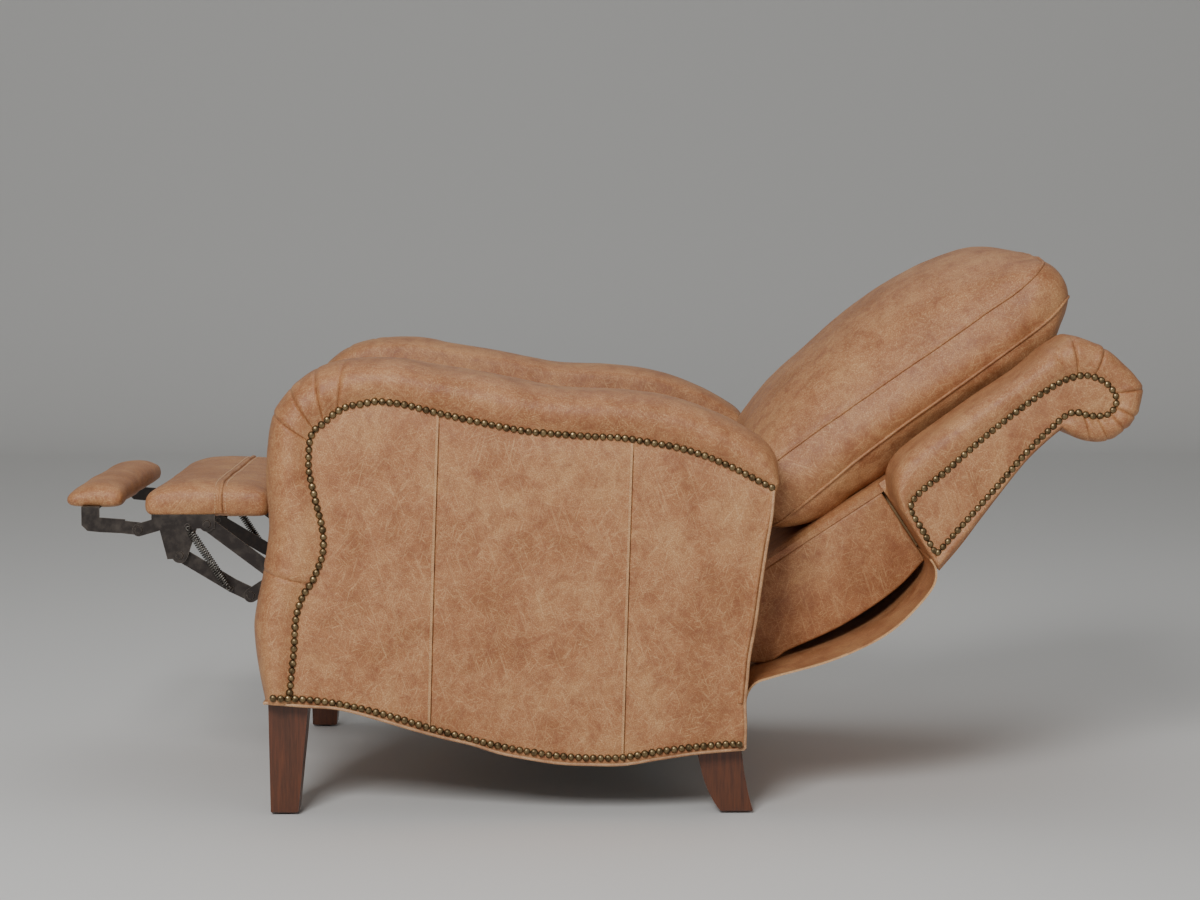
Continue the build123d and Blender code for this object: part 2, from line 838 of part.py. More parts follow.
with BuildPart() as footrest_springs:
    for x_side in (-1, 1):
        start = Vector(x_side * spring_x, *spring_foot)
        end = Vector(x_side * spring_x, *spring_head)
        with BuildSketch(Plane(origin=start, z_dir=end - start)):
            Circle(coil_radius)
        extrude(amount=(end - start).length)
keep(footrest_springs, "footrest_springs")
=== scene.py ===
"""Dresses the recliner armchair: leather, nail trim, welts, cushions, steel and wood.

Every length in the classes is in millimetres; meshes are written in metres.
"""

import logging
import math
from dataclasses import dataclass, field
from enum import Enum
from functools import partial
from typing import Iterable, Sequence

import bmesh
import bpy
import numpy as np
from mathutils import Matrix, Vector, noise
from mathutils.bvhtree import BVHTree
from mathutils.kdtree import KDTree


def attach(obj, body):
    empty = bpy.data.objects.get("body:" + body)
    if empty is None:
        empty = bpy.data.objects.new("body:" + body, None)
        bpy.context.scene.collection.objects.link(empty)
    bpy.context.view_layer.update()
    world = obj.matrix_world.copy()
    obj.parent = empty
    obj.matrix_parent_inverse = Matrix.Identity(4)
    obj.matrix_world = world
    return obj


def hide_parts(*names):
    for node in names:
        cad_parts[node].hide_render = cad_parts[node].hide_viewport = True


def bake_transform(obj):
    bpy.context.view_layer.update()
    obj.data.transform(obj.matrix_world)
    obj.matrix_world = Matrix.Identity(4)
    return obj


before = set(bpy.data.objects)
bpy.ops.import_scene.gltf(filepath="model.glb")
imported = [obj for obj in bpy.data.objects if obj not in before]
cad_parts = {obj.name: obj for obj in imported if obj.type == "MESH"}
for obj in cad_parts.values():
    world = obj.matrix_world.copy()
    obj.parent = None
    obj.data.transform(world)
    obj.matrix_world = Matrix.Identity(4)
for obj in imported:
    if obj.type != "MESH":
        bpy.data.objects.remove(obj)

logging.basicConfig(level=logging.INFO, format="%(message)s")
LOG = logging.getLogger("recliner")

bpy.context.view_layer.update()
MM = 0.001

Tree = bpy.types.NodeTree
Node = bpy.types.Node
Socket = bpy.types.NodeSocket
Material = bpy.types.Material
Piece = bpy.types.Object


class Side(Enum):
    """Which half of the chair a paired piece belongs to."""

    LEFT = 1
    RIGHT = -1

    @property
    def suffix(self) -> str:
        """Name ending of the CAD nodes on this side."""
        return self.name.lower()


# ------------------------------------------------------------------ curves


def run_length(line: np.ndarray) -> np.ndarray:
    """Distance along a line at each of its points."""
    steps = np.linalg.norm(np.diff(line, axis=0), axis=1)
    return np.concatenate([[0.0], np.cumsum(steps)])


def sample(line: np.ndarray, along: np.ndarray, at: np.ndarray) -> np.ndarray:
    """Points of a line at given distances along it."""
    return np.stack([np.interp(at, along, column) for column in line.T], 1)


def divide(line: np.ndarray, spacing: float, count: int = 0) -> np.ndarray:
    """Divides a polyline evenly.

    Args:
        line: The polyline, one row per point.
        spacing: Wanted distance between points.
        count: Number of spaces, used in place of spacing when it isn't 0.

    Returns:
        The new points, one row per point.
    """
    along = run_length(line)
    count = count or max(2, round(along[-1] / spacing))
    return sample(line, along, np.linspace(0.0, along[-1], count + 1))


def spline(points: Sequence[Sequence[float]], spacing: float) -> np.ndarray:
    """Runs a smooth curve through points and divides it evenly.

    Args:
        points: Through points, of two or three coordinates.
        spacing: Distance between the returned points.

    Returns:
        The divided curve, one row per point.
    """
    p = np.array(points, float)
    ends = np.vstack([2 * p[0] - p[1], p, 2 * p[-1] - p[-2]])
    rows = []
    for a, b, c, d in zip(ends, ends[1:], ends[2:], ends[3:]):
        knots = [0.0]
        for one, two in ((a, b), (b, c), (c, d)):
            knots.append(knots[-1] + max(np.linalg.norm(two - one), 1e-6) ** 0.5)
        t0, t1, t2, t3 = knots
        t = np.linspace(t1, t2, 24, endpoint=False)[:, None]
        a1 = (t1 - t) / (t1 - t0) * a + (t - t0) / (t1 - t0) * b
        a2 = (t2 - t) / (t2 - t1) * b + (t - t1) / (t2 - t1) * c
        a3 = (t3 - t) / (t3 - t2) * c + (t - t2) / (t3 - t2) * d
        b1 = (t2 - t) / (t2 - t0) * a1 + (t - t0) / (t2 - t0) * a2
        b2 = (t3 - t) / (t3 - t1) * a2 + (t - t1) / (t3 - t1) * a3
        rows.append((t2 - t) / (t2 - t1) * b1 + (t - t1) / (t2 - t1) * b2)
    return divide(np.vstack(rows + [p[-1:]]), spacing)


def clustered(line: np.ndarray, count: int) -> np.ndarray:
    """Divides a line with its points crowded towards both ends.

    Args:
        line: The polyline.
        count: Number of spaces between the crowded ends.

    Returns:
        The new points.
    """
    along = run_length(line)
    near = np.array([0.0, 0.7, 1.4, 2.2, 3.0, 4.0, 5.2, 7.0, 9.5, 13.0])
    middle = np.linspace(near[-1], along[-1] - near[-1], count + 1)[1:-1]
    return sample(line, along, np.concatenate([near, middle, (along[-1] - near)[::-1]]))


def closed(line: np.ndarray) -> np.ndarray:
    """The line with its first point repeated at its end."""
    return np.vstack([line, line[:1]])


def nearest(line: np.ndarray, place: Sequence[float]) -> int:
    """Number of the point of a line that lies nearest to a place."""
    return int(np.argmin(((line - np.array(place)) ** 2).sum(1)))


def gaps_to(line: np.ndarray, places: np.ndarray) -> np.ndarray:
    """Distance of each place from the nearest point of a line."""
    return np.array([np.sqrt(((line - place) ** 2).sum(1).min()) for place in places])


def height_at(line: np.ndarray, along: float) -> float:
    """Second coordinate of a line where its first has a given value."""
    order = np.argsort(line[:, 0])
    return float(np.interp(along, line[order, 0], line[order, 1]))


def clamp(value: float) -> float:
    """Keeps a share between 0 and 1."""
    return min(1.0, max(0.0, value))


def bell(gap: float | np.ndarray, width: float, power: int = 2) -> float | np.ndarray:
    """A hump of height 1 that is nearly gone two widths away; a higher power squares it."""
    return np.exp(-((gap / width) ** power))


def coons(left: np.ndarray, top: np.ndarray, right: np.ndarray, bottom: np.ndarray) -> np.ndarray:
    """Fills four boundary lines with a grid.

    Args:
        left: From the bottom left corner up.
        top: From the top left corner to the right.
        right: From the bottom right corner up, as many points as left.
        bottom: From the bottom left corner to the right, as many points as top.

    Returns:
        An array of rows, from bottom to top, of points.
    """
    u = np.linspace(0, 1, len(top))[None, :, None]
    v = np.linspace(0, 1, len(left))[:, None, None]
    ruled_v = (1 - v) * bottom[None] + v * top[None]
    ruled_u = (1 - u) * left[:, None] + u * right[:, None]
    low = (1 - u) * (1 - v) * bottom[0] + u * (1 - v) * bottom[-1]
    high = (1 - u) * v * top[0] + u * v * top[-1]
    return ruled_u + ruled_v - (low + high)


def inset(outline: np.ndarray, depth: float) -> np.ndarray:
    """Moves a closed outline towards its inside.

    Args:
        outline: Closed outline, anticlockwise, without a repeated end point.
        depth: Distance to move.

    Returns:
        The moved outline.
    """
    before = outline - np.roll(outline, 1, 0)
    after = np.roll(outline, -1, 0) - outline
    before /= np.linalg.norm(before, axis=1, keepdims=True) + 1e-9
    after /= np.linalg.norm(after, axis=1, keepdims=True) + 1e-9
    tangent = before + after
    tangent /= np.linalg.norm(tangent, axis=1, keepdims=True) + 1e-9
    normal = np.stack([-tangent[:, 1], tangent[:, 0]], 1)
    corner = np.clip((tangent * after).sum(1), 0.5, 1.0)[:, None]
    return outline + normal * depth / corner


def anticlockwise(outline: np.ndarray) -> np.ndarray:
    """Turns a closed outline so that its inside lies on the left of its direction.

    Args:
        outline: Closed outline of two coordinates.

    Returns:
        The same outline, or its points in reverse.
    """
    after = np.roll(outline, -1, 0)
    area = (outline[:, 0] * after[:, 1] - after[:, 0] * outline[:, 1]).sum()
    return outline if area > 0 else outline[::-1].copy()


# ------------------------------------------------------------------ meshes


def link_object(name: str, data: bpy.types.ID) -> Piece:
    """Makes an object and links it to the scene.

    Args:
        name: Object name.
        data: Its mesh, light or camera.

    Returns:
        The object.
    """
    obj = bpy.data.objects.new(name, data)
    bpy.context.scene.collection.objects.link(obj)
    return obj


def evaluated_mesh(obj: Piece) -> bpy.types.Mesh:
    """A plain mesh of an object with its modifiers applied."""
    graph = bpy.context.evaluated_depsgraph_get()
    return bpy.data.meshes.new_from_object(obj.evaluated_get(graph))


def vectors(vertices: Sequence[bpy.types.MeshVertex], key: str) -> np.ndarray:
    """Reads a vector property of all vertices.

    Args:
        vertices: The mesh's vertices.
        key: co or normal.

    Returns:
        Rows of X, Y and Z.
    """
    flat = np.empty(len(vertices) * 3)
    vertices.foreach_get(key, flat)
    return flat.reshape(-1, 3)


def surface(obj: Piece) -> BVHTree:
    """A search tree of a piece's faces."""
    mesh = obj.data
    return BVHTree.FromPolygons([v.co[:] for v in mesh.vertices], [p.vertices[:] for p in mesh.polygons])


def point_finder(places: np.ndarray) -> KDTree:
    """Makes a search tree of places.

    Args:
        places: Rows of X, Y and Z.

    Returns:
        The tree, ready for searching.
    """
    finder = KDTree(len(places))
    for number, place in enumerate(places):
        finder.insert(Vector(place), number)
    finder.balance()
    return finder


@dataclass
class MeshParts:
    """Vertices in millimetres and faces, gathered before they become a piece."""

    points: list = field(default_factory=list)
    faces: list = field(default_factory=list)

    def add(self, points: Iterable[Sequence[float]]) -> list[int]:
        """Adds points and returns their numbers.

        Args:
            points: Places in millimetres.

        Returns:
            The numbers of the new points.
        """
        start = len(self.points)
        self.points.extend([tuple(float(c) for c in p) for p in points])
        return list(range(start, len(self.points)))

    def bridge(self, one: Sequence[int], two: Sequence[int], round_about: bool) -> None:
        """Joins two rows of equal length with quads.

        Args:
            one: Point numbers of the first row.
            two: Point numbers of the second row.
            round_about: Whether the rows are closed rings.
        """
        count = len(one)
        for k in range(count if round_about else count - 1):
            n = (k + 1) % count
            self.faces.append((one[k], one[n], two[n], two[k]))

    def grid(self, rows: np.ndarray) -> list[list[int]]:
        """Adds a grid of points with its quads.

        Args:
            rows: Rows of places.

        Returns:
            The point numbers by row.
        """
        numbers = [self.add(row) for row in rows]
        for one, two in zip(numbers, numbers[1:]):
            self.bridge(one, two, False)
        return numbers

    def sheet(self, top: np.ndarray, bottom: np.ndarray) -> None:
        """Adds two facing grids and the strip that joins their rims.

        Args:
            top: Rows of places of one face.
            bottom: As many rows of the other face.
        """
        one, two = self.grid(top), self.grid(bottom)
        for k in (0, -1):
            self.bridge(one[k], two[k], False)
        for k in (0, -1):
            self.bridge([row[k] for row in one], [row[k] for row in two], False)

    def loft(self, rings: Sequence[Sequence[Sequence[float]]]) -> None:
        """Joins closed rings in their order and caps both ends.

        Args:
            rings: Rings of equal length.
        """
        numbers = [self.add(ring) for ring in rings]
        for one, two in zip(numbers, numbers[1:]):
            self.bridge(one, two, True)
        self.faces.append(tuple(numbers[0]))
        self.faces.append(tuple(numbers[-1]))

    def piece(self, name: str, finish: Material, sharp: float) -> Piece:
        """Turns the gathered mesh into an object with outward faces.

        Args:
            name: Piece name.
            finish: Its material.
            sharp: Edges bent by more than this many degrees stay sharp.

        Returns:
            The new object.
        """
        mesh = bpy.data.meshes.new(name)
        mesh.from_pydata([tuple(c * MM for c in p) for p in self.points], [], self.faces)
        work = bmesh.new()
        work.from_mesh(mesh)
        bmesh.ops.remove_doubles(work, verts=work.verts, dist=2e-5)
        bmesh.ops.dissolve_degenerate(work, edges=work.edges, dist=1e-6)
        bmesh.ops.recalc_face_normals(work, faces=work.faces)
        work.to_mesh(mesh)
        work.free()
        obj = link_object(name, mesh)
        dress(obj, finish, sharp)
        return obj


def dress(obj: Piece, finish: Material, sharp: float) -> None:
    """Gives a mesh its material and smooth shading with sharp edges kept.

    Args:
        obj: The object.
        finish: Its material.
        sharp: Edges bent by more than this many degrees stay sharp.
    """
    obj.data.materials.clear()
    obj.data.materials.append(finish)
    obj.data.polygons.foreach_set("use_smooth", [True] * len(obj.data.polygons))
    obj.data.set_sharp_from_angle(angle=math.radians(sharp))


def mark_wear(obj: Piece, places: np.ndarray, reach: float, amount: float) -> None:
    """Marks where a piece is rubbed pale.

    Args:
        obj: The piece.
        places: Rubbed points in millimetres.
        reach: How near a vertex must be to one of them.
        amount: Wear from 0 to 1.
    """
    finder = point_finder(places * MM)
    wear = obj.data.attributes.new("wear", "FLOAT", "POINT")
    gaps = [finder.find(v.co)[2] / MM for v in obj.data.vertices]
    wear.data.foreach_set("value", [amount if gap < reach else 0.0 for gap in gaps])


def rounded_slab(outline: np.ndarray, low: float, high: float, radius: float) -> MeshParts:
    """Makes a slab across X with rounded rims.

    Args:
        outline: Closed outline in the side view.
        low: Inner X.
        high: Outer X.
        radius: Rounding of the rims.

    Returns:
        The closed mesh.
    """
    outline = anticlockwise(outline)
    turns = np.linspace(0, math.pi / 2, 5)
    rings = []
    for face_x, way in ((low, 1), (high, -1)):
        for turn in turns[::way]:
            x = face_x + way * radius * (1 - math.cos(turn))
            ring = inset(outline, radius * (1 - math.sin(turn)))
            rings.append([(x, y, z) for y, z in ring])
    parts = MeshParts()
    parts.loft(rings)
    return parts


# ------------------------------------------------------------------ nodes and finishes


def feed(node: Node, inputs: dict) -> None:
    """Sets a node's inputs, or links them.

    Args:
        node: The node.
        inputs: Input name or number to a value, to the socket that feeds it, or to a node
            whose first output in use does.
    """
    for key, value in inputs.items():
        if isinstance(value, Node):
            value = next(socket for socket in value.outputs if socket.enabled and not socket.is_unavailable)
        if isinstance(value, Socket):
            node.id_data.links.new(value, node.inputs[key])
        else:
            node.inputs[key].default_value = value


def add_node(tree: Tree, kind: str, inputs: dict | None = None, **settings: object) -> Node:
    """Adds a node with its settings, values and links.

    Args:
        tree: Shader or geometry tree.
        kind: Node type.
        inputs: What feeds it, as feed takes it.
        **settings: Node properties.

    Returns:
        The node.
    """
    node = tree.nodes.new(kind)
    for key, value in settings.items():
        setattr(node, key, value)
    feed(node, inputs or {})
    return node


def linear(code: str) -> tuple[float, float, float, float]:
    """Turns an sRGB hex colour into a linear one.

    Args:
        code: The colour, as #RRGGBB.

    Returns:
        Linear red, green and blue, and an alpha of 1.
    """
    parts = [int(code[k : k + 2], 16) / 255 for k in (1, 3, 5)]
    return (*[c / 12.92 if c <= 0.04045 else ((c + 0.055) / 1.055) ** 2.4 for c in parts], 1.0)


def set_ramp(node: Node, stops: Sequence[tuple[float, str]]) -> None:
    """Sets a Color Ramp's stops.

    Args:
        node: The Color Ramp node.
        stops: Position and hex colour of each stop, in order.
    """
    ramp = node.color_ramp
    while len(ramp.elements) < len(stops):
        ramp.elements.new(0.5)
    for element, (position, code) in zip(ramp.elements, stops):
        element.position = position
        element.color = linear(code)


def begin_material(name: str) -> tuple[Material, Tree, Node]:
    """Makes an empty material.

    Args:
        name: Its name.

    Returns:
        The material, its tree and its Principled shader.
    """
    material = bpy.data.materials.new(name)
    material.use_nodes = True
    tree = material.node_tree
    return material, tree, tree.nodes["Principled BSDF"]


@dataclass(frozen=True)
class PullUpLeather:
    """Waxed aniline leather: the wax moves where the hide is bent, so it is mottled
    light and dark, crossed by pale scratches, over a fine pebble with painted shade in its creases."""

    name: str = "waxed pull-up leather"
    dark: str = "#9C673F"
    body: str = "#AE784F"
    pale: str = "#BC8A5C"
    # also the colour of the painted shade in the pebble's creases
    blotch: str = "#7F452B"
    scratch: str = "#E0B785"
    pebble_mm: float = 3.0
    scratches: float = 0.5
    # turn, lean, width and length of each direction, as streaks takes them
    scratch_ways: tuple = (
        (0.3, 0.12, 2.4, 90.0), (0.85, -0.15, 2.8, 150.0), (1.3, 0.2, 2.2, 80.0),
        (1.9, -0.1, 2.6, 130.0), (2.35, 0.15, 2.3, 95.0), (2.85, -0.2, 2.5, 120.0),
    )

    def streaks(
        self, tree: Tree, place: Socket, turn: float, lean: float, width_mm: float, length_mm: float
    ) -> Node:
        """Thin scratches that run one way, from a noise drawn out along them.

        Args:
            tree: The material's tree.
            place: Object coordinates.
            turn: Direction in the side view, in radians.
            lean: Lean towards the side, in radians.
            width_mm: Spacing of the noise across a scratch.
            length_mm: Spacing of the noise along a scratch.

        Returns:
            The node that gives the scratch mask, 0 to 1.
        """
        add = partial(add_node, tree)
        size = (width_mm * MM, length_mm * MM, width_mm * MM)
        spun = add(
            "ShaderNodeMapping",
            {"Vector": place, "Location": (turn, lean, turn), "Rotation": (turn, 0.0, lean), "Scale": size},
            vector_type="TEXTURE",
        )
        hair = add(
            "ShaderNodeTexNoise",
            {"Vector": spun, "Scale": 1.0, "Detail": 2.0, "Roughness": 0.5, "Distortion": 0.12},
        )
        return add("ShaderNodeMapRange", {"Value": hair, "From Min": 0.56, "From Max": 0.74})

    def material(self) -> Material:
        """Builds the node material.

        Returns:
            The material.
        """
        material, tree, shader = begin_material(self.name)
        add = partial(add_node, tree)
        place = add("ShaderNodeTexCoord").outputs["Object"]
        # cloudy mottling of about 90 mm, and reddish waxy patches of about 25 mm
        cloud = add(
            "ShaderNodeTexNoise",
            {"Vector": place, "Scale": 11.0, "Detail": 5.0, "Roughness": 0.62, "Distortion": 0.3},
        )
        patch = add(
            "ShaderNodeTexNoise",
            {"Vector": place, "Scale": 40.0, "Detail": 7.0, "Roughness": 0.68, "Distortion": 0.5},
        )
        tone = add("ShaderNodeValToRGB", {"Fac": cloud})
        set_ramp(tone, [(0.36, self.dark), (0.5, self.body), (0.64, self.pale)])
        waxy = add("ShaderNodeMapRange", {"Value": patch, "From Min": 0.48, "From Max": 0.7, "To Max": 0.55})
        mottled = add(
            "ShaderNodeMix", {"Factor": waxy, "A": tone, "B": linear(self.blotch)}, data_type="RGBA"
        )
        # crossing scratches about 1.5 mm wide and 20 to 60 mm long, fewer on the waxy patches
        marks, *others = [self.streaks(tree, place, *way) for way in self.scratch_ways]
        for line in others:
            marks = add("ShaderNodeMath", {0: marks, 1: line}, operation="MAXIMUM")
        spared = add(
            "ShaderNodeMapRange",
            {
                "Value": patch, "From Min": 0.42, "From Max": 0.66, "To Min": self.scratches,
                "To Max": self.scratches * 0.35,
            },
        )
        share = add("ShaderNodeMath", {0: marks, 1: spared}, operation="MULTIPLY")
        marked = add(
            "ShaderNodeMix", {"Factor": share, "A": mottled, "B": linear(self.scratch)}, data_type="RGBA"
        )
        wear = add("ShaderNodeAttribute", attribute_name="wear")
        worn = add(
            "ShaderNodeMix", {"Factor": wear.outputs["Fac"], "A": marked, "B": linear(self.scratch)},
            data_type="RGBA",
        )
        # pebble grain, drawn coarser than the real 1.5 mm so that it shows, with painted shade mixed into its
        # creases
        grain = add(
            "ShaderNodeTexVoronoi", {"Vector": place, "Scale": 1000.0 / self.pebble_mm, "Randomness": 1.0},
            feature="DISTANCE_TO_EDGE",
        )
        crease = add("ShaderNodeMapRange", {"Value": grain, "From Min": 0.0, "From Max": 0.22})
        # painted shade: the creases of the grain are darkened towards the blotch colour
        shade = add("ShaderNodeMapRange", {"Value": crease, "To Min": 0.4, "To Max": 0.0})
        crease_shaded = add(
            "ShaderNodeMix", {"Factor": shade, "A": worn, "B": linear(self.blotch)}, data_type="RGBA"
        )
        fold = add("ShaderNodeBump", {"Height": patch, "Strength": 0.25, "Distance": 0.004})
        bump = add("ShaderNodeBump", {"Height": crease, "Strength": 0.3, "Distance": 0.0006, "Normal": fold})
        gloss = add(
            "ShaderNodeMapRange",
            {"Value": patch, "From Min": 0.3, "From Max": 0.7, "To Min": 0.56, "To Max": 0.44},
        )
        feed(shader, {"Base Color": crease_shaded, "Normal": bump, "Roughness": gloss, "IOR": 1.45})
        return material


@dataclass(frozen=True)
class AntiqueBrass:
    """Tumbled brass nail heads: dark in the hollows, rubbed bright on the domes."""

    name: str = "tumbled antique brass"
    dark: str = "#5A4A35"
    rubbed: str = "#8F7B5A"

    def material(self) -> Material:
        """Builds the node material.

        Returns:
            The material.
        """
        material, tree, shader = begin_material(self.name)
        add = partial(add_node, tree)
        place = add("ShaderNodeTexCoord").outputs["Object"]
        # tarnish in patches of about 8 mm, so that neighbouring heads differ
        patch = add("ShaderNodeTexNoise", {"Vector": place, "Scale": 120.0, "Detail": 2.0})
        tone = add("ShaderNodeValToRGB", {"Fac": patch})
        set_ramp(tone, [(0.35, self.dark), (0.62, self.rubbed)])
        rough = add(
            "ShaderNodeMapRange",
            {"Value": patch, "From Min": 0.3, "From Max": 0.7, "To Min": 0.5, "To Max": 0.32},
        )
        feed(shader, {"Base Color": tone, "Roughness": rough, "Metallic": 1.0})
        return material


@dataclass(frozen=True)
class StainedWood:
    """Planed hardwood: long grain along one axis, with pores; stained or bare."""

    name: str
    dark: str
    light: str
    rough: float
    coat: float
    stretch: tuple[float, float, float] = (1.0, 1.0, 0.06)

    def material(self) -> Material:
        """Builds the node material.

        Returns:
            The material.
        """
        material, tree, shader = begin_material(self.name)
        add = partial(add_node, tree)
        place = add("ShaderNodeTexCoord").outputs["Object"]
        along = add("ShaderNodeMapping", {"Vector": place, "Scale": self.stretch})
        # growth rings about 6 mm apart, pores about 1 mm
        ring = add(
            "ShaderNodeTexNoise",
            {"Vector": along, "Scale": 170.0, "Detail": 5.0, "Roughness": 0.6, "Distortion": 0.4},
        )
        pore = add("ShaderNodeTexNoise", {"Vector": along, "Scale": 900.0, "Detail": 2.0})
        mixed = add("ShaderNodeMix", {"Factor": 0.3, "A": ring, "B": pore}, data_type="FLOAT")
        tone = add("ShaderNodeValToRGB", {"Fac": mixed})
        set_ramp(tone, [(0.36, self.dark), (0.64, self.light)])
        bump = add("ShaderNodeBump", {"Height": mixed, "Strength": 0.15, "Distance": 0.0006})
        feed(
            shader,
            {
                "Base Color": tone, "Normal": bump, "Roughness": self.rough, "Coat Weight": self.coat,
                "Coat Roughness": 0.2,
            },
        )
        return material


@dataclass(frozen=True)
class PaintedSteel:
    """Pressed steel under dark bronze paint: satin, with dust, rubbed bright along its edges, which is partly
    wear and partly a painted glint of light on edges and rivet rims.
    """

    name: str = "bronze painted pressed steel"
    paint: str = "#2A2320"
    dust: str = "#4A423B"
    # pale edge colour: bare metal wear and a painted glint
    bare: str = "#9A9084"
    edge_mm: float = 0.9

    def material(self) -> Material:
        """Builds the node material.

        Returns:
            The material.
        """
        material, tree, shader = begin_material(self.name)
        add = partial(add_node, tree)
        place = add("ShaderNodeTexCoord").outputs["Object"]
        # dust in clouds of about 17 mm, and paint peel of about 1.5 mm
        cloud = add("ShaderNodeTexNoise", {"Vector": place, "Scale": 60.0, "Detail": 6.0, "Roughness": 0.65})
        tone = add("ShaderNodeValToRGB", {"Fac": cloud})
        set_ramp(tone, [(0.42, self.paint), (0.75, self.dust)])
        # where the rounded normal turns away from the flat one, an edge is rubbed bright: edge wear, and also
        # a painted glint along edges and rivet rims
        round_edge = add("ShaderNodeBevel", {"Radius": self.edge_mm * MM}, samples=4)
        flat = add("ShaderNodeNewGeometry")
        turn = add(
            "ShaderNodeVectorMath", {0: round_edge, 1: flat.outputs["Normal"]}, operation="DOT_PRODUCT"
        )
        edge = add(
            "ShaderNodeMapRange",
            {
                "Value": turn.outputs["Value"], "From Min": 0.9, "From Max": 0.995, "To Min": 0.6,
                "To Max": 0.0,
            },
        )
        rubbed = add("ShaderNodeMix", {"Factor": edge, "A": tone, "B": linear(self.bare)}, data_type="RGBA")
        peel = add("ShaderNodeTexNoise", {"Vector": place, "Scale": 700.0, "Detail": 2.0})
        bump = add("ShaderNodeBump", {"Height": peel, "Strength": 0.12, "Distance": 0.0004})
        rough = add(
            "ShaderNodeMapRange",
            {"Value": cloud, "From Min": 0.3, "From Max": 0.7, "To Min": 0.3, "To Max": 0.5},
        )
        feed(shader, {"Base Color": rubbed, "Normal": bump, "Roughness": rough, "Metallic": 0.35})
        return material


@dataclass(frozen=True)
class SpringWire:
    """Drawn steel wire: grey, with faint oil staining."""

    name: str = "drawn spring wire"
    dark: str = "#484541"
    light: str = "#8E8A83"

    def material(self) -> Material:
        """Builds the node material.

        Returns:
            The material.
        """
        material, tree, shader = begin_material(self.name)
        add = partial(add_node, tree)
        place = add("ShaderNodeTexCoord").outputs["Object"]
        # oil stains of about 8 mm
        stain = add("ShaderNodeTexNoise", {"Vector": place, "Scale": 120.0, "Detail": 4.0})
        tone = add("ShaderNodeValToRGB", {"Fac": stain})
        set_ramp(tone, [(0.35, self.dark), (0.7, self.light)])
        feed(shader, {"Base Color": tone, "Metallic": 1.0, "Roughness": 0.38})
        return material


@dataclass(frozen=True)
class WovenCloth:
    """Plain woven or needled cloth: threads crossing at a fixed spacing."""

    name: str
    dark: str
    light: str
    thread_mm: float

    def material(self) -> Material:
        """Builds the node material.

        Returns:
            The material.
        """
        material, tree, shader = begin_material(self.name)
        add = partial(add_node, tree)
        place = add("ShaderNodeTexCoord").outputs["Object"]
        # a wave texture repeats 20 / (2 pi) times for each unit of scale
        scale = math.tau / (self.thread_mm * MM) / 20.0
        warp = add(
            "ShaderNodeTexWave", {"Vector": place, "Scale": scale, "Distortion": 0.6}, bands_direction="X"
        )
        weft = add(
            "ShaderNodeTexWave", {"Vector": place, "Scale": scale, "Distortion": 0.6}, bands_direction="Y"
        )
        cross = add("ShaderNodeMath", {0: warp.outputs["Fac"], 1: weft.outputs["Fac"]}, operation="MULTIPLY")
        # soiling in clouds of about 40 mm
        cloud = add("ShaderNodeTexNoise", {"Vector": place, "Scale": 25.0, "Detail": 4.0})
        mixed = add("ShaderNodeMix", {"Factor": 0.5, "A": cross, "B": cloud}, data_type="FLOAT")
        tone = add("ShaderNodeValToRGB", {"Fac": mixed})
        set_ramp(tone, [(0.1, self.dark), (0.8, self.light)])
        bump = add("ShaderNodeBump", {"Height": cross, "Strength": 0.4, "Distance": 0.0006})
        feed(shader, {"Base Color": tone, "Normal": bump, "Roughness": 0.9, "Sheen Weight": 0.3})
        return material


@dataclass(frozen=True)
class MouldedNylon:
    """Moulded nylon glide: matt, with floor scuffs."""

    name: str = "moulded nylon"
    dark: str = "#1B1A19"
    scuff: str = "#4B4845"

    def material(self) -> Material:
        """Builds the node material.

        Returns:
            The material.
        """
        material, tree, shader = begin_material(self.name)
        add = partial(add_node, tree)
        place = add("ShaderNodeTexCoord").outputs["Object"]
        # scuffs of about 5 mm
        scuff = add("ShaderNodeTexNoise", {"Vector": place, "Scale": 220.0, "Detail": 5.0})
        tone = add("ShaderNodeValToRGB", {"Fac": scuff})
        set_ramp(tone, [(0.5, self.dark), (0.8, self.scuff)])
        feed(shader, {"Base Color": tone, "Roughness": 0.6})
        return material


@dataclass
class Finishes:
    """Every finish of the chair, built once."""

    leather: Material = field(default_factory=PullUpLeather().material)
    welt: Material = field(
        default_factory=PullUpLeather(
            name="skived welt leather", dark="#A67C58", body="#BE946C", pale="#D0A981", scratches=0.3
        ).material
    )
    thread: Material = field(
        default_factory=WovenCloth("waxed linen thread", "#B99468", "#DDBE94", 0.6).material
    )
    brass: Material = field(default_factory=AntiqueBrass().material)
    leg_wood: Material = field(
        default_factory=StainedWood("stained hardwood", "#42210F", "#613218", 0.42, 0.2).material
    )
    bare_wood: Material = field(
        default_factory=StainedWood(
            "planed hardwood", "#9C7A52", "#C9A97C", 0.7, 0.0, (0.06, 1.0, 1.0)
        ).material
    )
    steel: Material = field(default_factory=PaintedSteel().material)
    wire: Material = field(default_factory=SpringWire().material)
    deck: Material = field(
        default_factory=WovenCloth("woven deck cloth", "#3A2A1E", "#6A4E38", 3.0).material
    )
    dust: Material = field(
        default_factory=WovenCloth("needled dust cloth", "#0F0F0F", "#2A2A2A", 2.5).material
    )
    nylon: Material = field(default_factory=MouldedNylon().material)


# ------------------------------------------------------------------ trim that follows a line


class Trim(Enum):
    """Kinds of trim that follow a line."""

    NAILS = "nail row"
    STITCHES = "stitch row"
    WELT = "welt cord"
    SEAM = "seam cord"
    WIRE = "wire cord"


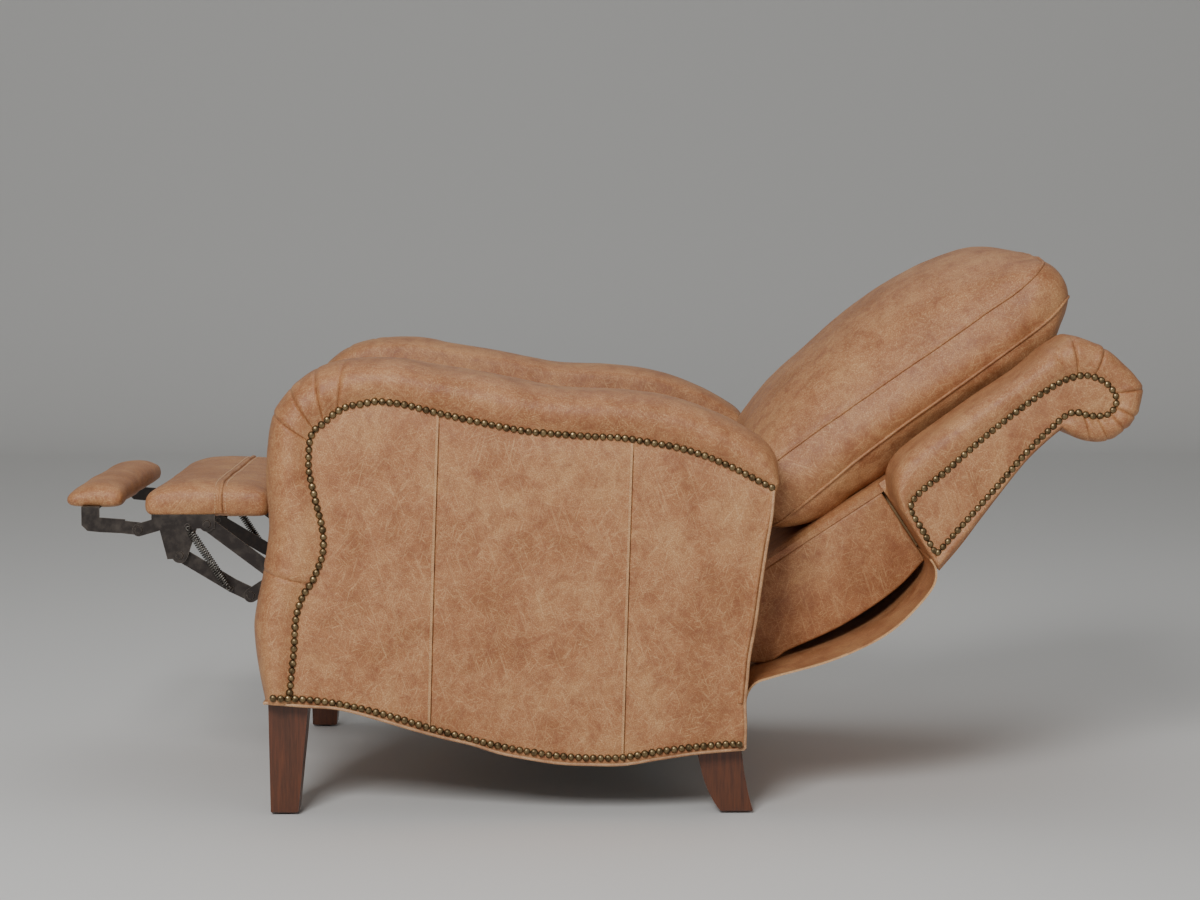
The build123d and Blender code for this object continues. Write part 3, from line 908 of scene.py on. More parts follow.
def line_object(name: str, lines: Sequence[np.ndarray]) -> Piece:
    """Makes an object of edges along lines given in millimetres.

    Args:
        name: Object name.
        lines: Rows of X, Y, Z.

    Returns:
        The object.
    """
    points, edges = [], []
    for line in lines:
        start = len(points)
        points.extend([tuple(c * MM for c in p) for p in line])
        edges.extend([(k, k + 1) for k in range(start, len(points) - 1)])
    mesh = bpy.data.meshes.new(name)
    mesh.from_pydata(points, edges, [])
    return link_object(name, mesh)


@dataclass
class TrimTree:
    """A geometry tree that turns a line into nails, stitches or a cord."""

    name: str
    finish: Material
    inputs: dict[str, float]

    def begin(self) -> tuple[Tree, dict[str, Socket], Node]:
        """Opens the tree.

        Returns:
            The tree, its inputs by name, and the line as a curve.
        """
        tree = bpy.data.node_groups.new(self.name, "GeometryNodeTree")
        tree.interface.new_socket("Line", in_out="INPUT", socket_type="NodeSocketGeometry")
        for key, value in self.inputs.items():
            socket = tree.interface.new_socket(key, in_out="INPUT", socket_type="NodeSocketFloat")
            socket.default_value = value
        tree.interface.new_socket("Trim", in_out="OUTPUT", socket_type="NodeSocketGeometry")
        enter = add_node(tree, "NodeGroupInput").outputs
        curve = add_node(tree, "GeometryNodeMeshToCurve", {"Mesh": enter["Line"]})
        return tree, enter, curve

    def end(self, tree: Tree, last: Node) -> Tree:
        """Realises the instances, sets the material and closes the tree.

        Args:
            tree: The tree.
            last: The geometry to end with.

        Returns:
            The finished tree.
        """
        add = partial(add_node, tree)
        real = add("GeometryNodeRealizeInstances", {"Geometry": last})
        dressed = add("GeometryNodeSetMaterial", {"Geometry": real, "Material": self.finish})
        shaded = add("GeometryNodeSetShadeSmooth", {"Geometry": dressed})
        add("NodeGroupOutput", {"Trim": shaded})
        return tree

    def nails(self) -> Tree:
        """Builds domed nail heads at an even pitch, facing along X, each a little different.

        Returns:
            The finished tree.
        """
        tree, enter, curve = self.begin()
        add = partial(add_node, tree)
        spaced = add("GeometryNodeResampleCurve", {"Curve": curve, "Length": enter["Pitch"]}, mode="LENGTH")
        dome = add("GeometryNodeMeshUVSphere", {"Segments": 12, "Rings": 6, "Radius": enter["Radius"]})
        rise = add("ShaderNodeCombineXYZ", {"X": enter["Rise"], "Y": 1.0, "Z": 1.0})
        head = add("GeometryNodeTransform", {"Geometry": dome, "Scale": rise})
        vary = add("FunctionNodeRandomValue", {2: 0.95, 3: 1.04, "Seed": 7}, data_type="FLOAT")
        placed = add(
            "GeometryNodeInstanceOnPoints", {"Points": spaced, "Instance": head, "Scale": vary.outputs[1]}
        )
        return self.end(tree, placed)

    def stitches(self) -> Tree:
        """Builds short stitches at an even pitch, lying along the line.

        Returns:
            The finished tree.
        """
        tree, enter, curve = self.begin()
        add = partial(add_node, tree)
        spaced = add("GeometryNodeResampleCurve", {"Curve": curve, "Length": enter["Pitch"]}, mode="LENGTH")
        bead = add("GeometryNodeMeshUVSphere", {"Segments": 6, "Rings": 4, "Radius": enter["Radius"]})
        reach = add("ShaderNodeCombineXYZ", {"X": 1.0, "Y": 1.0, "Z": enter["Stretch"]})
        stitch = add("GeometryNodeTransform", {"Geometry": bead, "Scale": reach})
        tangent = add("GeometryNodeInputTangent")
        turned = add("FunctionNodeAlignRotationToVector", {"Vector": tangent}, axis="Z")
        placed = add(
            "GeometryNodeInstanceOnPoints", {"Points": spaced, "Instance": stitch, "Rotation": turned}
        )
        return self.end(tree, placed)

    def cord(self) -> Tree:
        """Builds a round cord along the line.

        Returns:
            The finished tree.
        """
        tree, enter, curve = self.begin()
        add = partial(add_node, tree)
        circle = add(
            "GeometryNodeCurvePrimitiveCircle", {"Resolution": 8, "Radius": enter["Radius"]}, mode="RADIUS"
        )
        swept = add("GeometryNodeCurveToMesh", {"Curve": curve, "Profile Curve": circle, "Fill Caps": True})
        return self.end(tree, swept)


@dataclass
class Trimmer:
    """Lays nails, stitches, welts and wire along lines, as plain meshes."""

    finishes: Finishes
    nail_pitch: float = 11.1
    nail_radius: float = 5.65
    nail_rise: float = 0.7
    stitch_pitch: float = 5.0
    stitch_radius: float = 0.7
    stitch_stretch: float = 2.6
    cord_radius: float = 2.4
    trees: dict[Trim, Tree] = field(default_factory=dict)

    def __post_init__(self) -> None:
        """Builds the trees."""
        nail = {"Pitch": self.nail_pitch * MM, "Radius": self.nail_radius * MM, "Rise": self.nail_rise}
        self.trees[Trim.NAILS] = TrimTree(Trim.NAILS.value, self.finishes.brass, nail).nails()
        stitch = {
            "Pitch": self.stitch_pitch * MM,
            "Radius": self.stitch_radius * MM,
            "Stretch": self.stitch_stretch,
        }
        self.trees[Trim.STITCHES] = TrimTree(Trim.STITCHES.value, self.finishes.thread, stitch).stitches()
        cords = {
            Trim.WELT: self.finishes.welt,
            Trim.SEAM: self.finishes.leather,
            Trim.WIRE: self.finishes.wire,
        }
        for kind, finish in cords.items():
            self.trees[kind] = TrimTree(kind.value, finish, {"Radius": self.cord_radius * MM}).cord()

    def lay(self, kind: Trim, name: str, lines: Sequence[np.ndarray], **sizes: float) -> Piece:
        """Lays one kind of trim along lines.

        Args:
            kind: What to lay.
            name: Piece name.
            lines: Lines in millimetres.
            **sizes: Named inputs of the tree, in metres.

        Returns:
            The finished mesh object.
        """
        source = line_object(name + "_line", lines)
        tree = self.trees[kind]
        modifier = source.modifiers.new("trim", "NODES")
        modifier.node_group = tree
        for item in tree.interface.items_tree:
            if item.in_out == "INPUT" and item.name in sizes:
                modifier[item.identifier] = sizes[item.name]
        mesh = evaluated_mesh(source)
        mesh.name = name
        obj = link_object(name, mesh)
        bpy.data.objects.remove(source, do_unlink=True)
        return obj


# ------------------------------------------------------------------ padded pieces

SWELL_FRAMES = 20
COVER_CLOTH = {
    "quality": 4,
    "mass": 0.6,
    "tension_stiffness": 30,
    "compression_stiffness": 30,
    "shear_stiffness": 15,
    "bending_stiffness": 4,
    "use_pressure": True,
    "uniform_pressure_force": 4.0,
}


def inflate(obj: Piece, voxel: float, cap: float) -> None:
    """Swells a closed mesh as a stuffed leather cover would, and keeps the result.

    Args:
        obj: The piece, slightly smaller than it ends up.
        voxel: Remesh size in millimetres.
        cap: Furthest that any point may move, in millimetres.
    """
    remesh = obj.modifiers.new("remesh", "REMESH")
    remesh.mode = "VOXEL"
    remesh.voxel_size = voxel * MM
    skin = evaluated_mesh(obj)
    obj.modifiers.clear()
    obj.data = skin
    cloth = obj.modifiers.new("cloth", "CLOTH")
    for key, value in COVER_CLOTH.items():
        setattr(cloth.settings, key, value)
    cloth.settings.effector_weights.gravity = 0.0
    cloth.collision_settings.use_collision = False
    cloth.point_cache.frame_start = 1
    cloth.point_cache.frame_end = SWELL_FRAMES
    for number in range(1, SWELL_FRAMES + 1):
        bpy.context.scene.frame_set(number)
    start = vectors(skin.vertices, "co")
    graph = bpy.context.evaluated_depsgraph_get()
    move = vectors(obj.evaluated_get(graph).to_mesh().vertices, "co") - start
    size = np.linalg.norm(move, axis=1, keepdims=True)
    limit = cap * MM
    start += move * (limit * np.tanh(size / limit) / np.maximum(size, 1e-9))
    obj.modifiers.clear()
    bpy.context.scene.frame_set(1)
    skin.vertices.foreach_set("co", start.reshape(-1))
    skin.update()


def settle(obj: Piece, rounds: int) -> None:
    """Evens out the small steps that a voxel remesh leaves.

    Args:
        obj: The piece.
        rounds: How many smoothing passes.
    """
    work = bmesh.new()
    work.from_mesh(obj.data)
    for _ in range(rounds):
        bmesh.ops.smooth_vert(
            work, verts=work.verts, factor=0.5, use_axis_x=True, use_axis_y=True, use_axis_z=True
        )
    work.to_mesh(obj.data)
    work.free()


def smooth_run(values: np.ndarray, rounds: int) -> None:
    """Evens out the inner rows of an array in place; its first and last rows stay.

    Args:
        values: One row or number per point of a line.
        rounds: How many passes.
    """
    for _ in range(rounds):
        values[1:-1] = (values[:-2] + 2 * values[1:-1] + values[2:]) / 4


def lie_on(obj: Piece, line: np.ndarray, lift: float) -> np.ndarray:
    """Brings a line onto the surface of a piece.

    Args:
        obj: The piece.
        line: Points in millimetres.
        lift: How far above the surface the line ends up, in millimetres.

    Returns:
        The moved line.
    """
    tree = surface(obj)
    rows = []
    for point in line:
        place, normal, _, _ = tree.find_nearest(Vector(point) * MM)
        rows.append(tuple((place + normal * lift * MM) / MM))
    rows = np.array(rows)
    smooth_run(rows, 3)
    return rows


# ------------------------------------------------------------------ lines of the chair


def ripple(x: float, y: float, z: float, size: float, seed: float = 0.0) -> float:
    """Smooth unevenness between -1 and 1.

    Args:
        x: X in millimetres.
        y: Y in millimetres.
        z: Z in millimetres.
        size: Width of one bump in millimetres.
        seed: Picks another pattern.

    Returns:
        The height at that place.
    """
    return noise.noise(Vector((x / size + seed, y / size - seed, z / size + 2 * seed)))


def matched(
    one: Sequence[Sequence[float]],
    two: Sequence[Sequence[float]],
    ties: Sequence[tuple[Sequence[float], Sequence[float]]],
    spacing: float,
) -> tuple[np.ndarray, np.ndarray, list[int]]:
    """Divides two lines into rows that face each other at given ties.

    Args:
        one: Through points of the first line.
        two: Through points of the second line.
        ties: A point near the first line and the facing point near the second, in order;
            the ends of the lines are tied without being listed.
        spacing: Distance between points on the first line.

    Returns:
        The two divided lines, of equal length, and the row number of each tie.
    """
    fine = [spline(one, 0.5), spline(two, 0.5)]
    cuts = []
    for number, line in enumerate(fine):
        cuts.append([0, *[nearest(line, tie[number]) for tie in ties], len(line) - 1])
    rows, numbers = [[], []], []
    for k in range(len(ties) + 1):
        runs = [line[cut[k] : cut[k + 1] + 1] for line, cut in zip(fine, cuts)]
        count = max(2, round(run_length(runs[0])[-1] / spacing))
        last = k == len(ties)
        for kept, run in zip(rows, runs):
            kept.append(divide(run, 0, count)[: None if last else -1])
        numbers.append(sum(len(run) for run in rows[0]))
    return np.vstack(rows[0]), np.vstack(rows[1]), numbers[:-1]


@dataclass(frozen=True)
class BackFrame:
    """The laid-back back's own frame: u runs up the back, v out of its front face."""

    y: float = 255.0
    z: float = 262.0
    slope: float = 33.4

    def world(self, u: float, v: float) -> tuple[float, float]:
        """Turns (u, v) into (Y, Z)."""
        c, s = math.cos(math.radians(self.slope)), math.sin(math.radians(self.slope))
        return self.y + u * c - v * s, self.z + u * s + v * c

    def line(self, points: Iterable[Sequence[float]]) -> np.ndarray:
        """Turns a line in (u, v) into rows of Y and Z."""
        return np.array([self.world(u, v) for u, v in points])


BACK = BackFrame()


def at_x(x: float | np.ndarray, line: np.ndarray) -> np.ndarray:
    """Puts a side-view line at one X, or at an X for each of its points."""
    return np.column_stack([np.full(len(line), 1.0) * x, line])


def seen_from_outside(
    objects: Sequence[Piece], line: np.ndarray, side: Side, lift: float
) -> np.ndarray:
    """Lays a side-view line on the outer face of some pieces.

    Where a ray meets only what lies further in, the last outer face is kept. The line
    then stands clear of the highest place within two points of it, and is evened out.

    Args:
        objects: The pieces that carry the line.
        line: Rows of Y and Z.
        side: Which side of the chair.
        lift: Height above the face.

    Returns:
        Rows of X, Y, Z.
    """
    far_x, least_x, first_x, near_points, rounds = 600.0, 340.0, 394.0, 2, 12
    way = side.value
    trees = [surface(obj) for obj in objects]
    reaches, last = [], first_x
    for y, z in line:
        start = Vector((way * far_x * MM, y * MM, z * MM))
        hits = [tree.ray_cast(start, Vector((-way, 0, 0)))[0] for tree in trees]
        outermost = max((hit.x * way / MM for hit in hits if hit is not None), default=0.0)
        last = outermost if outermost > least_x else last
        reaches.append(last + lift)
    around = [np.roll(reaches, k) for k in range(-near_points, near_points + 1)]
    clear = np.max(around, axis=0)
    smooth_run(clear, rounds)
    return at_x(way * clear, line)


# ------------------------------------------------------------------ arms


@dataclass
class Arm:
    """One arm: the padded roll, the side panel set into it, and their trim."""

    side: Side
    finishes: Finishes
    trimmer: Trimmer
    seam_x: float = 394.0
    crest_x: float = 330.0
    lining_x: float = 262.0
    widest_x: float = 406.5
    panel_face_x: float = 393.6
    panel_back_x: float = 372.0
    spacing: float = 2.6
    rear_lap: float = 12.0
    # Y and Z of the roll's outer line, from the floor side at the front over the top
    crown: tuple = (
        (-505, 175), (-516, 230), (-521, 296), (-507, 376), (-498, 440), (-502, 515), (-499, 570),
        (-490, 612), (-464, 649), (-426, 677), (-380, 692), (-299, 693), (-254, 685), (-178, 672),
        (-118, 660), (-57, 650), (49, 644), (125, 631), (186, 608), (217, 592), (240, 578), (255, 567),
        (266, 553), (272, 538), (274, 510),
    )
    # the line where the roll meets the side panel
    seam: tuple = (
        (-466, 175), (-464, 205), (-458, 259), (-455, 303), (-450, 324), (-442, 343), (-430, 361),
        (-421, 381), (-414, 401), (-412, 422), (-414, 443), (-424, 486), (-433, 530), (-433, 551),
        (-431, 574), (-425, 589), (-412, 599), (-395, 614), (-376, 625), (-354, 629), (-333, 633),
        (-311, 631), (-289, 628), (-238, 615), (-151, 596), (-108, 588), (-65, 584), (-11, 580),
        (34, 578), (76, 571), (120, 563), (162, 550), (202, 533), (241, 513), (261, 503),
    )
    seam_turn: tuple = (-412, 599)
    # crown point and facing seam point; the first five carry a dart, as deep as the next line says
    ties: tuple = (
        ((-507, 376), (-434, 356)), ((-490, 612), (-435, 572)), ((-464, 649), (-425, 590)),
        ((-426, 677), (-411, 601)), ((-381, 692), (-389, 618)), ((-254, 685), (-252, 618)),
        ((-57, 650), (-65, 584)), ((125, 631), (118, 563)),
    )
    dart_depths: tuple = (3.0, 3.6, 4.2, 4.2, 3.4)
    rear: tuple = (
        (274, 510), (270, 499), (263, 461), (253, 410), (244, 348), (237, 296), (228, 244), (225, 210),
        (222, 175),
    )
    panel_rear: tuple = (
        (222, 105), (223, 140), (222, 175), (225, 210), (228, 244), (237, 296), (244, 348), (253, 410),
        (261, 461), (264, 499),
    )
    apron: tuple = (
        (-466, 174), (-436, 172), (-395, 169), (-364, 162), (-317, 148), (-281, 137), (-234, 124),
        (-192, 114), (-148, 100), (-103, 91), (-58, 84), (-15, 82), (39, 82), (89, 90), (151, 99),
        (222, 105),
    )
    apron_nails: tuple = (
        (-489, 186), (-450, 183), (-412, 179), (-370, 171), (-325, 160), (-242, 135), (-156, 112),
        (-100, 101), (-49, 94), (30, 92), (95, 102), (155, 109), (213, 114),
    )
    laps: tuple = (((-254, 131), (-246, 394), (-238, 612)), ((38, 83), (47, 393), (53, 574)))
    panel_rows: int = 78
    panel_columns: tuple = (26, 40, 24)
    # section of the roll: share of the way from the seam to the crown, and X
    profile: tuple = (
        (0.0, 393.4), (0.06, 393.8), (0.12, 396.2), (0.2, 400.0), (0.31, 403.4), (0.44, 405.2),
        (0.56, 403.8), (0.68, 400.0), (0.79, 393.5), (0.88, 384.5), (0.945, 373.0), (0.985, 359.0),
        (1.0, 343.0), (1.004, 322.0), (1.0, 303.0), (0.985, 289.0), (0.955, 278.0), (0.91, 268.5),
        (0.85, 261.5), (0.76, 257.2), (0.62, 255.2), (0.4, 255.0), (0.0, 255.0),
    )
    profile_steps: int = 54

    def build(self) -> list[Piece]:
        """Builds every piece of the arm.

        Returns:
            The pieces.
        """
        roll = self.roll()
        panel = self.panel()
        trim = [self.nails(roll, panel), self.welts(), self.stitching(panel)]
        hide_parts(f"arm_padding_{self.side.suffix}")
        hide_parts(f"side_panel_{self.side.suffix}")
        slots = ("leather", "leather", "mechanism_steel", "leather", "leather")
        for piece, slot in zip((roll, panel, *trim), slots):
            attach(piece, "base")
        return [roll, panel, *trim]

    def dart(self, gap: float, deep: float, share: float, x: float) -> float:
        """Height of the leather beside a dart: a crease, a ridge in front and a slack behind.

        Args:
            gap: Distance from the dart along the roll.
            deep: Depth of the dart.
            share: Share of the way from the seam to the crown.
            x: X of the place.

        Returns:
            The height, negative in the crease.
        """
        if abs(gap) >= 40.0:
            return 0.0
        fade = clamp((x - 285.0) / 45.0) * min(1.0, 0.25 + share / 0.12)
        fade *= 0.4 + 0.6 * clamp((x - 345.0) / 40.0)
        return deep * fade * (0.3 * bell(gap - 9.0, 6.0) - bell(gap, 2.4) - 0.12 * bell(gap + 12.0, 8.0))

    def roll_ring(
        self,
        along: float,
        crown: np.ndarray,
        seam: np.ndarray,
        section: np.ndarray,
        darts: dict[float, float],
    ) -> list[tuple[float, float, float]]:
        """One ring across the roll, from the seam over the crown to the inside of the arm.

        Args:
            along: Distance of the ring along the roll.
            crown: Y and Z of the crown there.
            seam: Y and Z of the seam there.
            section: Rows of share and X.
            darts: Place along the roll and depth of each dart.

        Returns:
            The places of the ring.
        """
        across = crown - seam
        reach = np.linalg.norm(across)
        fullness = clamp((reach - 12.0) / 34.0)
        ring = []
        for share, x in section:
            place = seam + across * share
            wave = 1.5 * ripple(x, *place, 85.0, 1.3) + 0.5 * ripple(x, *place, 24.0, 4.1)
            swell = sum(self.dart(along - at, deep, share, x) for at, deep in darts.items()) + 0.9 * wave
            swell *= (1.0 if share > 0.03 else 0.25) * (0.35 + 0.65 * fullness)
            slack = 1.0 if x < 380 else 0.3
            face_x = self.seam_x + (x - self.seam_x) * (fullness + (1 - fullness) * slack)
            # outside the crest the leather swells along X near the seam, and upwards past it
            outward, pucker = 0.0, 0.0
            if x > self.crest_x:
                outward = 0.5 + 0.5 * math.tanh((0.75 - share) * 6)
                pucker = 0.5 * math.sin(along / 23.0 * math.tau) * math.exp(-share / 0.12)
            if x > self.lining_x:
                face_x += swell * outward + pucker
                place = place + across / max(reach, 1e-6) * swell * (1 - outward)
            ring.append((self.side.value * min(face_x, self.widest_x), *place))
        return ring

    def roll(self) -> Piece:
        """The padded leather roll round the arm, pleated at its front corner.

        Returns:
            The piece.
        """
        crowns, seams, tie_rows = matched(self.crown, self.seam, self.ties, self.spacing)
        rear = spline(self.rear, self.spacing)[1:]
        crowns = np.vstack([crowns, rear])
        seams = np.vstack([seams, rear - (self.rear_lap, 0.0)])
        darts = {row * self.spacing: deep for row, deep in zip(tie_rows, self.dart_depths)}
        section = divide(spline(self.profile, 4.0), 0, self.profile_steps)
        rings = [
            self.roll_ring(k * self.spacing, crown, seam, section, darts)
            for k, (crown, seam) in enumerate(zip(crowns, seams))
        ]
        parts = MeshParts()
        numbers = parts.grid(np.array(rings))
        parts.faces.append(tuple(row[0] for row in numbers))
        parts.faces.append(tuple(row[-1] for row in numbers))
        parts.faces.append((*numbers[0], *reversed(numbers[-1])))
        return parts.piece(f"arm_roll_{self.side.suffix}", self.finishes.leather, 60)

    def panel_lines(self) -> tuple[np.ndarray, np.ndarray, np.ndarray, np.ndarray]:
        """Reads the outline of the side panel.

        Returns:
            Its left, top, right and bottom lines.
        """
        seam = spline(self.seam, 4.0)
        turn = nearest(seam, self.seam_turn)
        edge = spline(np.array(self.panel_rear) - (0.5, 0.0), 4.0)
        return seam[: turn + 1], seam[turn:], edge, spline(self.apron, 4.0)

    def panel_face(
        self, grid: np.ndarray, rim: np.ndarray, under: np.ndarray | None, over: np.ndarray | None
    ) -> tuple[np.ndarray, list[tuple[float, float, float]]]:
        """Height of one of the panel's three leathers, over thin padding.

        Args:
            grid: Y and Z of its places.
            rim: The outline of the whole panel.
            under: The lap at its front, where it tucks under the leather before, or None.
            over: The lap at its rear, where its cut edge lies on the leather behind, or None.

        Returns:
            X of each place, and the places where the cut edge is rubbed.
        """
        flat = grid.reshape(-1, 2)
        near = gaps_to(rim, flat)
        rise = 2.6 * (1 - bell(near, 22.0)) + (1 - bell(near, 90.0))
        wave = np.array([0.8 * ripple(0, *p, 120.0, 7.0) + 0.25 * ripple(0, *p, 30.0, 2.0) for p in flat])
        x = self.panel_face_x + rise + wave * np.minimum(1, near / 30.0)
        fade = np.minimum(1, near / 3.0)
        rubbed: list[tuple[float, float, float]] = []
        if under is not None:
            gap = gaps_to(under, flat)
            x -= (3.0 * bell(gap, 1.3, 4) + 0.5 * bell(gap, 9.0)) * fade
        if over is not None:
            gap = gaps_to(over, flat)
            x += (1.3 * bell(gap, 5.0, 4) - 0.5 * bell(gap - 6.5, 1.6)) * fade
            rubbed = [(self.side.value * cx, *p) for cx, p, d in zip(x, flat, gap) if d < 3.4]
        return x.reshape(grid.shape[:2]), rubbed

    def panel(self) -> Piece:
        """The side panel: three lapped pieces of leather over thin padding.

        Returns:
            The piece.
        """
        left, top, right, bottom = self.panel_lines()
        top[-1] = right[-1]
        bottom[0] = left[0]
        laps = [spline(lap, 2.0) for lap in self.laps]
        cut_top = [0, *[nearest(top, lap[-1]) for lap in laps], len(top) - 1]
        cut_bottom = [0, *[nearest(bottom, lap[0]) for lap in laps], len(bottom) - 1]
        for lap, low, high in zip(laps, cut_bottom[1:], cut_top[1:]):
            lap[0], lap[-1] = bottom[low], top[high]
        uprights = [divide(line, 0, self.panel_rows) for line in (left, *laps, right)]
        rim = np.vstack([left, top[1:], right[::-1][1:], bottom[::-1][1:-1]])
        way = self.side.value
        parts = MeshParts()
        fronts, grids, worn = [], [], []
        for k, columns in enumerate(self.panel_columns):
            high = clustered(top[cut_top[k] : cut_top[k + 1] + 1], columns)
            low = clustered(bottom[cut_bottom[k] : cut_bottom[k + 1] + 1], columns)
            grid = coons(uprights[k], high, uprights[k + 1], low)
            under = laps[k - 1] if k > 0 else None
            over = laps[k] if k < len(laps) else None
            x, rubbed = self.panel_face(grid, rim, under, over)
            fronts.append(parts.grid(np.dstack([way * x, grid])))
            grids.append(grid)
            worn += rubbed
        backs = []
        for grid in grids:
            x = np.full(grid.shape[:2], way * self.panel_back_x)
            backs.append(parts.grid(np.dstack([x, grid])))
        for one, two in zip(fronts, fronts[1:]):
            parts.bridge([row[-1] for row in one], [row[0] for row in two], False)
        for front, back in zip(fronts, backs):
            parts.bridge(front[0], back[0], False)
            parts.bridge(front[-1], back[-1], False)
        for k in (0, -1):
            parts.bridge([row[k] for row in fronts[k]], [row[k] for row in backs[k]], False)
        panel = parts.piece(f"side_panel_leather_{self.side.suffix}", self.finishes.leather, 35)
        mark_wear(panel, np.array(worn), 0.5, 0.42)
        return panel

    def nails(self, roll: Piece, panel: Piece) -> Piece:
        """The row of nails round the panel and along its scalloped bottom.

        Args:
            roll: The arm roll.
            panel: The side panel.

        Returns:
            The piece.
        """
        lines = (spline(((-465, 193), *self.seam[2:]), 3.0), spline(self.apron_nails, 3.0))
        laid = [seen_from_outside((roll, panel), line, self.side, 1.2) for line in lines]
        return self.trimmer.lay(Trim.NAILS, f"arm_nails_{self.side.suffix}", laid)

    def welts(self) -> Piece:
        """The pale welts under the arm and down its rear edge.

        Returns:
            The piece.
        """
        way = self.side.value
        front_y, front_z, outer_x, inner_x = -503.0, 176.5, 390.0, 262.0
        low = at_x(way * 396.0, spline(((front_y, front_z), *self.apron[1:]), 4.0))
        bend = 14
        low[:bend, 0] = way * np.linspace(outer_x, 396.0, bend)
        rear = at_x(way * 395.5, self.panel_lines()[2] + (0.5, 0.0))
        xs = np.linspace(outer_x, inner_x, 30)
        front = np.array([(way * x, front_y - 0.5 + 0.02 * (outer_x - x), front_z - 0.5) for x in xs])
        name = f"arm_welts_{self.side.suffix}"
        return self.trimmer.lay(Trim.WELT, name, [low, rear, front], Radius=2.6 * MM)

    def stitching(self, panel: Piece) -> Piece:
        """The stitch rows beside the lapped seams.

        Args:
            panel: The side panel.

        Returns:
            The piece.
        """
        lines = []
        for lap in self.laps:
            line = spline(lap, 3.0)[6:-6] - (3.4, 0.0)
            lines.append(seen_from_outside((panel,), line, self.side, 0.15))
        name = f"panel_stitches_{self.side.suffix}"
        return self.trimmer.lay(Trim.STITCHES, name, lines, Pitch=3.4 * MM, Radius=0.55 * MM, Stretch=2.0)


# ------------------------------------------------------------------ back


class Zone(Enum):
    """What a ring of the upper back follows."""

    MIDDLE = "middle outline"
    STEP = "step from the middle up to a wing"
    WING = "wing outline"
    BAND = "band between a wing's outline and its nails"


@dataclass(frozen=True)
class BackLines:
    """The lines that the upper back's skin is drawn from, row by row."""

    wing: np.ndarray
    middle: np.ndarray
    nails: np.ndarray
    folds: list[int]
    pitch_rows: tuple[int, int] = (56, 210)

    def dent(self, row: int) -> float:
        """How far the leather stands out at a row beside the pleats.

        Args:
            row: Row of the outline.

        Returns:
            The height, negative in a pleat.
        """
        first, last = self.pitch_rows
        pitch = run_length(self.wing[first:last])[-1] / (last - first - 1)
        gaps = [(row - fold) * pitch for fold in self.folds]
        return sum(1.4 * bell(gap - 8.0, 5.5) - 3.6 * bell(gap, 2.4) for gap in gaps if abs(gap) <= 40.0)


